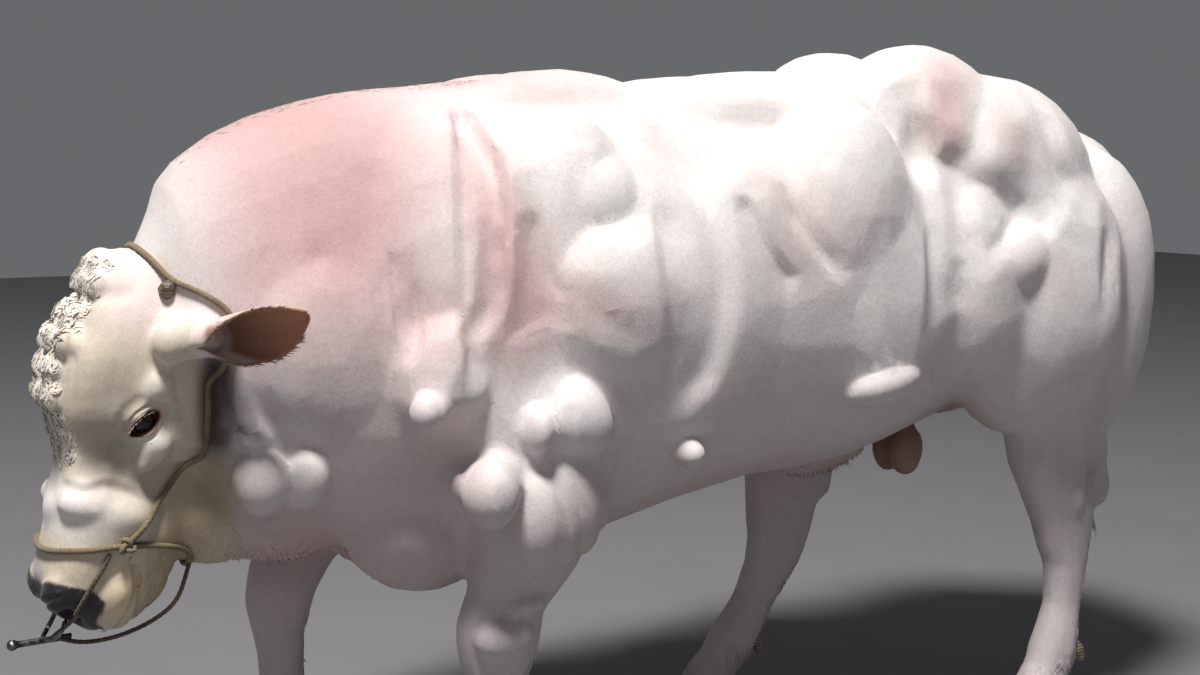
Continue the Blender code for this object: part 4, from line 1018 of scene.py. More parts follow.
@dataclass
class Hide:
    """The one skin of the bull, from the muzzle to the switch of the tail."""

    voxel: float = 0.0075
    lobe_voxel: float = 0.0052
    fine_voxel: float = 0.0042
    most_triangles: int = 162_000
    coat_depth: float = 0.002
    curl_depth: float = 0.0045
    # how far the folds are widened and what is left of their depth
    soft: float = 1.6
    firm: float = 0.5
    # folds up to this half width get a finer mesh
    narrow: float = 0.018
    # rounds of smoothing: everywhere, on the legs, on the rump, over the lobes and on the calm places
    smooth_all: int = 26
    smooth_legs: int = 40
    smooth_rump: int = 60
    smooth_lobes: int = 9
    smooth_calm: int = 45
    smooth_head: int = 16
    smooth_ears: int = 16
    lobes: tuple[Lobe, ...] = (
        # loose muscle over the elbow, knee and hock
        Lobe(*mm(-480, 334, 796, 56, 62, 80), -24, LEFT),
        Lobe(*mm(-568, 334, 782, 28, 46, 48), 0, LEFT),
        Lobe(*mm(-660, 330, 678, 52, 70, 68), 0, LEFT),
        Lobe(*mm(-560, 316, 620, 58, 58, 96), 0, LEFT),
        Lobe(*mm(-490, 302, 655, 58, 60, 122), -14, LEFT),
        Lobe(*mm(-522, 318, 628, 46, 50, 104), -8, LEFT),
        Lobe(*mm(-706, 296, 688, 18, 26, 26), 0, LEFT),
        Lobe(*mm(-562, 268, 454, 48, 38, 24), -12, LEFT),
        Lobe(*mm(-600, 260, 392, 60, 46, 44), 0, LEFT),
        Lobe(*mm(-600, 310, 795, 53, 45, 70), 30, RIGHT),
        Lobe(*mm(-745, 272, 700, 44, 40, 46), 30, RIGHT),
        Lobe(*mm(-670, 282, 670, 42, 40, 53), 40, RIGHT),
        Lobe(*mm(902, 204, 540, 20, 22, 45), 10, LEFT),
        Lobe(*mm(815, 232, 500, 30, 30, 50), 0, LEFT),
        # throat
        Lobe(*mm(-1022, 172, 706, 54, 62, 66)),
        Lobe(*mm(-947, 174, 708, 48, 62, 64)),
        # shoulder, flank and rump
        Lobe(*mm(-780, 334, 828, 30, 36, 36)),
        Lobe(*mm(-425, 246, 1170, 118, 96, 120)),
        Lobe(*mm(-236, 300, 706, 31, 48, 31)),
        Lobe(*mm(205, 312, 815, 105, 72, 52), -12),
        Lobe(*mm(748, 272, 925, 128, 116, 180)),
        Lobe(*mm(562, 282, 1048, 112, 100, 98), -20),
    )
    folds: tuple[Fold, ...] = (
        # between the cheek and the throat
        Fold(mm(-1112, -168, 945, -1104, -165, 890, -1100, -162, 840, -1098, -155, 790, -1094, -145, 755),
             0.015, 0.04, fade=0.16),
        # the skin of the neck folded over the shoulder
        Fold(mm(-632, -110, 1395, -652, -160, 1345, -682, -240, 1262, -694, -275, 1165, -700, -295, 1070,
                -703, -305, 982, -708, -325, 940), 0.017, 0.02, 0.008, fade=0.24),
        Fold(mm(-815, -247, 1114, -814, -256, 1053, -810, -269, 985, -807, -277, 933), 0.009, 0.01, 0.006),
        Fold(mm(-775, -250, 1060, -775, -265, 985, -778, -285, 910), 0.009, 0.008, 0.005),
        Fold(mm(-818, -174, 1280, -844, -225, 1157, -859, -252, 1055, -860, -271, 970), 0.02, 0.007),
        Fold(mm(-945, -200, 1140, -950, -220, 1040, -955, -225, 940), 0.016, 0.006, 0.004),
        Fold(mm(-533, -278, 1298, -460, -294, 1306, -371, -242, 1321, -294, -228, 1339), 0.014, 0.006),
        Fold(mm(-555, -300, 1180, -545, -325, 1100, -530, -335, 1048, -500, -350, 1015),
             0.014, 0.012, 0.005, -1),
        Fold(mm(-634, -322, 928, -598, -328, 950, -553, -336, 975, -500, -355, 950), 0.013, 0.007, 0.002),
        Fold(mm(-640, -300, 1180, -622, -310, 1090, -615, -320, 1000), 0.016, 0.008, 0.004, -1),
        # behind the upper arm
        Fold(mm(-318, -304, 1235, -320, -340, 1165, -333, -362, 1110, -336, -383, 1040, -328, -388, 960,
                -318, -370, 880, -318, -350, 800), 0.025, 0.02, 0.004),
        Fold(mm(-520, -345, 1022, -480, -370, 1000, -430, -387, 955, -372, -387, 911), 0.02, 0.012),
        # flank and back
        Fold(mm(-142, -350, 1205, -130, -365, 1175, -98, -373, 1110, -60, -375, 1060, -20, -374, 1030),
             0.017, 0.018, 0.006, -1, fade=0.18),
        Fold(mm(14, -297, 1311, 29, -339, 1280, 56, -364, 1243), 0.014, 0.008),
        # hip and rump
        Fold(mm(278, -100, 1462, 262, -165, 1440, 255, -190, 1428, 256, -215, 1410), 0.014, 0.014, 0.004),
        Fold(mm(340, -225, 1462, 352, -276, 1425, 339, -285, 1365, 346, -282, 1300, 356, -292, 1245,
                362, -305, 1180), 0.026, 0.018, 0.003, -1),
        Fold(mm(575, -320, 1345, 589, -337, 1314, 597, -347, 1259, 612, -347, 1200, 616, -345, 1165),
             0.021, 0.018, fade=0.35),
        Fold(mm(388, -340, 1055, 405, -348, 1085, 441, -356, 1112, 525, -340, 1146, 612, -342, 1176),
             0.014, 0.014),
        Fold(mm(391, -340, 1065, 380, -341, 1014, 386, -334, 950), 0.024, 0.008),
        # thigh and hock of the left side only
        Fold(mm(735, -300, 700, 760, -285, 620, 775, -265, 550), 0.018, 0.008, both=False),
        Fold(mm(868, -235, 600, 864, -232, 530, 850, -225, 460), 0.012, 0.008, both=False),
    )
    # centre, half sizes and height of soft mounds and, below zero, hollows
    mounds: tuple[tuple[Point, Point, float], ...] = (
        (*mm(405, -290, 1345, 50, 90, 95), -0.004),
        (*mm(477, -300, 1255, 55, 80, 55), 0.024),
        (*mm(520, -260, 1330, 55, 120, 110), 0.009),
        (*mm(700, -260, 1260, 65, 120, 100), 0.01),
        (*mm(-595, -300, 1120, 45, 80, 120), -0.007),
        (*mm(-665, -330, 900, 40, 50, 35), -0.012),
        (*mm(-700, -330, 770, 50, 50, 60), -0.012),
        (*mm(45, -375, 1130, 110, 70, 130), 0.006),
        (*mm(-200, -360, 850, 170, 70, 60), -0.006),
    )
    # the same for the buttock of the left side
    buttock: tuple[Point, Point, float] = ((0.945, -0.23, 1.08), (0.11, 0.09, 0.2), 0.028)
    # centre and reach of the places that are smoothed once more
    calm: tuple[tuple[Point, float], ...] = (
        ((0.466, -0.29, 1.25), 0.05), ((0.64, -0.36, 0.965), 0.055), ((0.603, -0.37, 0.83), 0.09),
        ((-0.2, -0.37, 1.04), 0.08), ((-0.218, -0.37, 0.92), 0.08),
    )
    # the same for the head, in its level frame
    face_mounds: tuple[tuple[Point, Point, float], ...] = (
        (*mm(-195, 141, -98, 28, 24, 26), 0.005),
        (*mm(-214, 136, -128, 14, 14, 14), 0.0035),
        (*mm(-298, 122, -118, 22, 20, 26), 0.008),
        (*mm(-335, 98, -60, 60, 40, 55), -0.009),
        (*mm(-240, 125, -20, 55, 40, 35), -0.0045),
        (*mm(-345, 95, -115, 35, 30, 30), -0.005),
        (*mm(-432, 85, -75, 26, 60, 80), 0.004),
        (*mm(-428, 102, -125, 30, 24, 36), 0.0105),
        (*mm(-445, 35, -2, 28, 45, 20), 0.007),
        (*mm(-525, 85, -60, 24, 30, 40), 0.004),
        (*mm(-560, 88, -142, 44, 28, 26), 0.01),
        (*mm(-525, 62, -222, 45, 30, 30), 0.006),
        (*mm(-135, 60, 40, 30, 60, 30), -0.006),
    )
    face_folds: tuple[Fold, ...] = (
        # mouth, edge of the pad, wing of the nostril and the crease behind it
        Fold(mm(-624, 0, -184, -606, 40, -187, -569, 75, -184, -539, 84, -167, -512, 94, -149,
                -486, 102, -131), 0.0065, 0.0075, fade=0.12),
        Fold(mm(-640, 0, -148, -628, 50, -140, -602, 86, -118, -575, 96, -108), 0.005, 0.004, 0.002, -1),
        Fold(mm(-615, 30, -34, -590, 66, -26, -572, 88, -50), 0.005, 0.004, 0.002),
        Fold(mm(-540, 98, -110, -520, 102, -128, -498, 102, -140), 0.005, 0.003),
        # across the nose above the muzzle, then down each side of the forehead
        Fold(mm(-398, 30, -3, -396, 62, -12, -392, 90, -30, -378, 96, -66, -380, 100, -105, -395, 98, -141),
             0.018, 0.006, 0.003),
        Fold(mm(-120, 66, 58, -175, 83, 56, -223, 80, 41, -272, 78, 28, -322, 66, 8, -361, 60, -10),
             0.01, 0.006, 0.003, -1, fade=0.15),
        # before the eye, behind it and the hollow between cheek and throat
        Fold(mm(-296, 116, -78, -325, 104, -62, -355, 92, -58), 0.007, 0.004),
        Fold(mm(-205, 137, -122, -222, 137, -142, -255, 132, -152), 0.006, 0.004),
        Fold(mm(-470, 85, -160, -430, 90, -172, -380, 96, -172), 0.01, 0.004),
    )
    # centre and reach of the places of the head that get a finer mesh: eye, nostril, lips and pad
    fine_places: tuple[tuple[Point, float], ...] = (
        ((EYE[0], EYE[1] + 0.02, EYE[2]), 0.06), ((-0.61, 0.055, -0.085), 0.06),
        ((-0.565, 0.085, -0.16), 0.05), ((-0.51, 0.095, -0.145), 0.04),
        ((-0.575, 0.092, -0.075), 0.045), ((-0.63, 0.02, -0.17), 0.045),
    )
    # centre, half sizes, depth and sharpness of the two hollows that make a nostril
    nostril_hollows: tuple[tuple[Point, Point, float, float], ...] = (
        ((-0.622, 0.052, -0.08), (0.02, 0.02, 0.02), 0.02, 3.0),
        ((-0.608, 0.066, -0.066), (0.012, 0.014, 0.012), 0.008, 2.5),
    )
    made: Object = field(init=False, repr=False)
    clay: Clay = field(init=False, repr=False)
    ear_share: Array = field(init=False, repr=False)

    def gathered(self, names: Sequence[str], name: str) -> Object:
        """Join copies of solids in the bull's own frame, with the fillings of the head.

        Args:
            names: The solids.
            name: Name of the result.

        Returns:
            A new object.
        """
        bm = bmesh.new()
        for node in names:
            bm.from_mesh(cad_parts[node].data)
        bmesh.ops.remove_doubles(bm, verts=bm.verts, dist=0.00001)
        bmesh.ops.translate(bm, verts=bm.verts, vec=-SHIFT)
        self.fillings(bm)
        return new_piece(name, bm)

    def melted(self, made: Object, size: float) -> Object:
        """Fuse overlapping forms into one surface and keep its largest shell."""
        fuse = made.modifiers.new("fuse", "REMESH")
        fuse.mode = "VOXEL"
        fuse.voxel_size = size
        settled(made)
        bm = bmesh.new()
        bm.from_mesh(made.data)
        bm.verts.ensure_lookup_table()
        left, largest = set(range(len(bm.verts))), []
        while left:
            start = next(iter(left))
            left.discard(start)
            shell, front = [start], [bm.verts[start]]
            while front:
                for edge in front.pop().link_edges:
                    for other in edge.verts:
                        if other.index in left:
                            left.discard(other.index)
                            shell.append(other.index)
                            front.append(other)
            if len(shell) > len(largest):
                largest = shell
        keep = set(largest)
        bmesh.ops.delete(bm, geom=[v for v in bm.verts if v.index not in keep], context="VERTS")
        bm.to_mesh(made.data)
        bm.free()
        return made

    def fillings(self, bm: BMesh) -> None:
        """Close the sockets with balls for the lids to lie on, and swell the roots of the ears."""
        for side in Side:
            ball(bm, tuple(eye_centre(side)), (EYE_RADIUS + 0.0045,) * 3)
            root, axis, face, down = Ear(side).axes()
            for run, radius in ((-0.01, 0.044), (0.018, 0.04), (0.042, 0.037), (0.056, 0.032)):
                ball(bm, tuple(root + axis * run + face * 0.024 + down * 0.005), (radius,) * 3)

    def lobes_on(self, bm: BMesh) -> None:
        """Add the loose bulges of muscle."""
        for lobe in self.lobes:
            for sign in lobe.sides:
                ball(bm, tuple(sided(lobe.spot, sign)), lobe.radii, lobe.lean)

    def body(self) -> None:
        """Shape trunk, neck, legs and tail."""
        flesh = [node for node in FLESH if not node.endswith("ear")]
        base = self.melted(self.gathered(flesh, "base"), self.voxel)
        clay = Clay(base)
        clay.relax(self.smooth_all)
        legs = (1 - ramp(clay.co[:, 2], 0.5, 0.72)) * ramp(clay.co[:, 2], 0.1, 0.18)
        clay.relax(self.smooth_legs, legs)
        rump = ramp(clay.co[:, 0], 0.3, 0.42) * ramp(clay.co[:, 2], 0.78, 0.92)
        clay.relax(self.smooth_rump, rump * ramp(np.abs(clay.co[:, 1]), 0.12, 0.2))
        bm = bmesh.new()
        bm.from_mesh(base.data)
        self.lobes_on(bm)
        self.made = new_piece("hide", bm)
        drop(base)
        self.made = self.melted(self.made, self.lobe_voxel)
        self.clay = Clay(self.made)
        self.clay.relax(self.smooth_lobes)

    def head(self) -> None:
        """Lay the head on a finer copy of its own forms."""
        fine = self.melted(self.gathered(("head", "neck"), "fine_head"), self.fine_voxel)
        shape = Clay(fine)
        shape.relax(self.smooth_head)
        tree = shape.tree()
        clay = self.clay
        share = head_share(clay.co, 0.005, 0.045)
        for index in np.nonzero(share > 0)[0]:
            place, _, _, _ = tree.find_nearest(Vector(clay.co[index]))
            clay.co[index] += (np.array(place) - clay.co[index]) * share[index]
        drop(fine)
        clay.relax(3, share)

    def creased(self) -> None:
        """Refine along the folds, then sink them, both sides."""
        clay = self.clay
        tree = clay.tree()
        laid = []
        for fold in self.folds:
            for sign in ((1, -1) if fold.both else (1,)):
                laid.append((fold, sign, curve_through(seated(tree, sided(fold.route, sign)), 0.006)))
        chosen = np.zeros(len(clay.co), bool)
        for fold, _, route in laid:
            if fold.width > self.narrow:
                continue
            found = clay.near(route, 0.03)
            off = ((clay.co[found][:, None] - route[None, ::2]) ** 2).sum(2).min(1)
            chosen[found[off < (fold.width * 1.6) ** 2]] = True
        clay.refine(chosen)
        for fold, sign, route in laid:
            # the furrow behind the cheek keeps its full depth
            firm = 1.0 if fold is self.folds[0] else self.firm
            clay.furrow(route, fold.width * self.soft, fold.depth * firm, fold.lip * firm,
                        fold.lip_side * sign, fold.fade)
        clay.turn()
        for spot, radii, height in self.mounds:
            for sign in (1, -1):
                clay.press(sided(spot, sign), radii, height)
        clay.press(*self.buttock)
        clay.turn()
        still = np.zeros(len(clay.co))
        for spot, reach in self.calm:
            for sign in (1, -1):
                off = ((clay.co - sided(spot, sign)) ** 2).sum(1)
                still = np.maximum(still, np.exp(-off / reach ** 2))
        clay.relax(self.smooth_calm, still, 0.0)
        clay.relax(3)

    def faced(self) -> None:
        """Shape lids, nostrils, lips and the folds of the face."""
        clay = self.clay
        for close in (1.0, 0.62):
            level = HEAD.level(clay.co)
            chosen = np.zeros(len(clay.co), bool)
            for spot, reach in self.fine_places:
                for sign in (1, -1):
                    chosen |= ((level - sided(spot, sign)) ** 2).sum(1) < (reach * close) ** 2
            clay.refine(chosen)
        for spot, radii, height in self.face_mounds:
            for sign in (1, -1):
                clay.press(head_spot(spot, sign), radii, height, np.array(HEAD.matrix())[:3, :3].T)
        clay.turn()
        tree = clay.tree()
        for fold in self.face_folds:
            for sign in (1, -1):
                laid = curve_through(seated(tree, HEAD.carry(sided(fold.route, sign))), 0.003)
                clay.furrow(laid, fold.width, fold.depth, fold.lip, fold.lip_side * sign, fold.fade)
        clay.turn()
        for side in Side:
            self.nostril(side)
            self.lids(side)
        clay.turn()

    def nostril(self, side: Side) -> None:
        """Sink one comma-shaped nostril behind a raised wing."""
        clay, sign = self.clay, side.value
        inward = HEAD.turned([(0.8, -0.45 * sign, -0.15)])[0]
        turn = HEAD.turned(unit(np.array([(-0.75, 0.6 * sign, 0.3), (0.55, 0.75 * sign, -0.3),
                                          (-0.3, 0.05 * sign, -0.95)])))
        for spot, radii, depth, power in self.nostril_hollows:
            clay.press(head_spot(spot, sign), radii, depth, turn, inward, power)
        clay.turn()

    def lids(self, side: Side) -> None:
        """Open the lids on the eyeball and roll their edges."""
        clay = self.clay
        centre = eye_centre(side)
        out, along, up = eye_axes(side)
        found = clay.near(centre[None], 0.075)
        local = clay.co[found] - centre
        a, b, c = local @ along, local @ up, local @ out
        front = c > 0.0
        reach = lid_reach(a, b)
        shell = EYE_RADIUS + 0.0042
        rim = np.sqrt(np.maximum(shell**2 - np.minimum(a**2 + b**2, (0.9 * shell) ** 2), 0))
        inside = np.sqrt(np.maximum((EYE_RADIUS - 0.0045) ** 2 - np.minimum(a**2 + b**2, 0.0155**2), 0))
        hole = 1 - ramp(reach, 0.9, 1.1)
        lid = ramp(reach, 0.92, 1.08) * (1 - ramp(reach, 1.35, 2.2))
        target = c * (1 - lid) + np.maximum(rim, c) * lid
        target += 0.0022 * np.exp(-(((reach - 1.2) / 0.16) ** 2))
        target = target * (1 - hole) + inside * hole
        target -= 0.0032 * np.exp(-(((reach - 1.95) / 0.22) ** 2)) * np.where(b > 0, 1.0, 0.5)
        moved = clay.co[found] + out * (target - c)[:, None]
        clay.co[found] = np.where(front[:, None], moved, clay.co[found])

    def thinned(self) -> None:
        """Take triangles off the plain parts of the body only."""
        clay = self.clay
        clay.write()
        count = triangles(self.made)
        level = HEAD.level(clay.co)
        plain = 1.0 - 0.94 * head_share(clay.co, 0.0, 0.04) * (1 - curl_share(level))
        group = self.made.vertex_groups.new(name="plain")
        steps = np.round(plain * 20).astype(int)
        for step in np.unique(steps):
            group.add(np.nonzero(steps == step)[0].tolist(), step / 20, "REPLACE")
        sparse = self.made.modifiers.new("sparse", "DECIMATE")
        sparse.ratio = min(1.0, self.most_triangles / count)
        sparse.vertex_group = "plain"
        sparse.vertex_group_factor = 1.0
        settled(self.made)
        self.made.vertex_groups.clear()
        self.clay = Clay(self.made)
        LOG.info("hide: %d triangles before, %d after thinning", count, triangles(self.made))

    def joined(self, ears: Sequence[Ear]) -> None:
        """Grow the ears out of the head and soften the joint."""
        self.clay.write()
        shells = []
        for ear in ears:
            shell = ear.build()
            shells.append(Clay(shell).tree())
            unite = self.made.modifiers.new("unite", "BOOLEAN")
            unite.operation = "UNION"
            unite.solver = "MANIFOLD"
            unite.object = shell
            settled(self.made)
            drop(shell)
        self.clay = Clay(self.made)
        clay = self.clay
        weight = np.zeros(len(clay.co))
        self.ear_share = np.zeros((len(ears), len(clay.co)))
        for number, (ear, tree) in enumerate(zip(ears, shells)):
            root, axis, face, down = ear.axes()
            local = clay.co - root
            run = local @ axis
            off = np.linalg.norm(local - run[:, None] * axis, axis=1)
            near = np.nonzero((run > 0.0) & (run < 0.32) & (off < 0.11))[0]
            gap = np.array([tree.find_nearest(Vector(spot))[3] for spot in clay.co[near]])
            plug = np.linalg.norm(local[near] - axis * 0.074 - face * 0.024, axis=1) < 0.028
            self.ear_share[number, near] = np.maximum(ramp(-gap, -0.0025, -0.0008), plug) * ramp(
                run[near], 0.018, 0.05)
            weight = np.maximum(weight, np.exp(-(((run - 0.02) / 0.03) ** 2)) * (off < 0.075))
        clay.relax(self.smooth_ears, weight, 0.0)

    def kinds(self) -> Array:
        """Share of wet leather and of bare skin for each point, as the first two parts of a colour."""
        level = HEAD.level(self.clay.co)
        leather = leather_at(level) * head_share(self.clay.co, 0.0, 0.018)
        bare = np.zeros(len(level))
        for side in Side:
            reach = eye_reach(side, self.clay.co)
            bare = np.maximum(bare, 1 - ramp(reach, 1.15, 1.5))
        off = np.sqrt((((self.clay.co - PURSE) / (0.08, 0.09, 0.1)) ** 2).sum(1))
        bare = np.maximum(bare, np.exp(-(off**6)))
        return np.stack([leather, bare, np.zeros(len(level))], axis=1)

    def build(self, ears: Sequence[Ear]) -> Object:
        """Make the whole skin.

        Args:
            ears: The ears that grow from it.

        Returns:
            The skin, before it is put in its place.
        """
        self.body()
        self.head()
        self.creased()
        self.faced()
        depth = self.coat_depth + (self.curl_depth - self.coat_depth) * curl_share(HEAD.level(self.clay.co))
        self.clay.co = boxed(self.clay.co - self.clay.normal * depth[:, None])
        self.thinned()
        self.joined(ears)
        self.clay.write()
        colour = MARKINGS.at(self.clay.co)
        for share, ear in zip(self.ear_share, ears):
            colour = ear.tinted(self.clay.co, self.clay.normal, colour, share)
        for side in Side:
            colour = rimmed(colour, eye_reach(side, self.clay.co))
        self.made.data.shade_smooth()
        paint(self.made, colour)
        paint(self.made, self.kinds(), "kind")
        return self.made


# ---- ears


@dataclass
class Ear:
    """One cupped, leaf-shaped ear."""

    side: Side
    root: Point = (-0.097, 0.15, -0.114)
    axis: Point = (0.337, 0.819, -0.449)
    facing: Point = (-0.718, 0.504, 0.471)
    length: float = 0.27
    thick: float = 0.0052
    along: int = 54
    around: int = 26
    # place along the ear, half width and how far it is rolled up, in degrees
    rows: tuple[Point, ...] = (
        (-0.2, 0.018, 178), (-0.1, 0.022, 178), (0.04, 0.026, 178), (0.16, 0.029, 178), (0.24, 0.031, 176),
        (0.3, 0.034, 162), (0.36, 0.038, 138), (0.42, 0.043, 114), (0.5, 0.048, 94), (0.58, 0.052, 78),
        (0.68, 0.054, 63), (0.8, 0.044, 51), (0.9, 0.028, 44), (0.965, 0.014, 40), (0.985, 0.008, 38),
    )

    def axes(self) -> tuple[Array, Array, Array, Array]:
        """Root, axis, facing and downward directions on the bull."""
        sign = self.side.value
        root = head_spot(self.root, sign)
        axis, face = HEAD.turned(sided((self.axis, self.facing), sign))
        axis = unit(axis)
        face = unit(face - axis * (face @ axis))
        down = np.cross(axis, face)
        return root, axis, face, down * -np.sign(down[2])

    def surface(self, share: float, turn: float) -> Array:
        """Point of the ear's back.

        Args:
            share: Place along the ear, 0 at the root and 1 at the tip.
            turn: Place round it, from -1 at the upper edge to 1 at the lower.

        Returns:
            The point on the bull.
        """
        root, axis, face, down = self.axes()
        rows = np.array(self.rows)
        at = self.rows[0][0] + (self.rows[-1][0] - self.rows[0][0]) * share
        half = np.interp(at, rows[:, 0], rows[:, 1])
        curl = math.radians(np.interp(at, rows[:, 0], rows[:, 2]))
        radius = half / math.sin(min(curl, math.pi / 2))
        angle = curl * turn
        spine = root + axis * (self.length * at) + face * (0.015 * max(at, 0) ** 2)
        wide = math.sin(angle) * down * (1.22 if angle > 0 else 0.8)
        ridge = 0.0016 * math.cos(angle * 9.0) * max(0.0, 1 - abs(turn)) * min(1.0, max(0.0, at * 2.5))
        return spine + radius * (face + wide - math.cos(angle) * face) + face * ridge

    def build(self) -> Object:
        """Make the ear as a closed shell."""
        bm = bmesh.new()
        bmesh.ops.create_grid(bm, x_segments=self.along, y_segments=self.around, size=1.0)
        for vert in bm.verts:
            share, turn = (vert.co.x + 1) / 2, vert.co.y
            vert.co = Vector(self.surface(share, turn))
        bmesh.ops.recalc_face_normals(bm, faces=bm.faces)
        _, _, face, _ = self.axes()
        centre = Vector(self.surface(0.75, 0.0))
        middle = min(bm.faces, key=lambda f: (f.calc_center_median() - centre).length)
        if np.array(middle.normal) @ face > 0:
            bmesh.ops.reverse_faces(bm, faces=bm.faces)
        bmesh.ops.solidify(bm, geom=bm.faces[:], thickness=self.thick)
        bmesh.ops.recalc_face_normals(bm, faces=bm.faces)
        made = new_piece("ear_shell", bm)
        round_off = made.modifiers.new("round_off", "SUBSURF")
        round_off.levels = round_off.render_levels = 1
        return settled(made)

    def tinted(self, points: Array, normals: Array, colour: Array, here: Array) -> Array:
        """Colour of the ear: pale outside; rust-brown inside the cup, a painted shade with painted light
        glowing through the thin ear.

        Args:
            points: Places on the bull.
            normals: Normals there.
            colour: Colours without the ear.
            here: How much of the ear each place belongs to.

        Returns:
            The colours with the ear.
        """
        root, axis, face, _ = self.axes()
        local = points - root
        run = (local @ axis) / self.length
        # painted shade and glow inside the cup: rust-brown, lighter toward the tip
        inside = ramp(normals @ face, -0.05, 0.35) * ramp(run, 0.27, 0.36) * here
        inner = np.asarray(CUP_SHADE_RUST) * (0.8 + 0.75 * ramp(run, 0.4, 0.95))[:, None]
        outer = blended(np.asarray(EAR_ROOT)[None], EAR_TIP, ramp(run, 0.15, 0.6))
        return blended(blended(colour, outer, here * 0.9), inner, inside * 0.92)


# ---- coat


@dataclass(frozen=True)
class LockShape:
    """Size and bend of one kind of lock."""

    length: float
    width: float
    thick: float
    curl: float = 0.5
    lift: float = 0.0
    wave: float = 0.0
    segments: int = 5
    sides: int = 3
    spread: float = 0.15
    smooth: bool = False


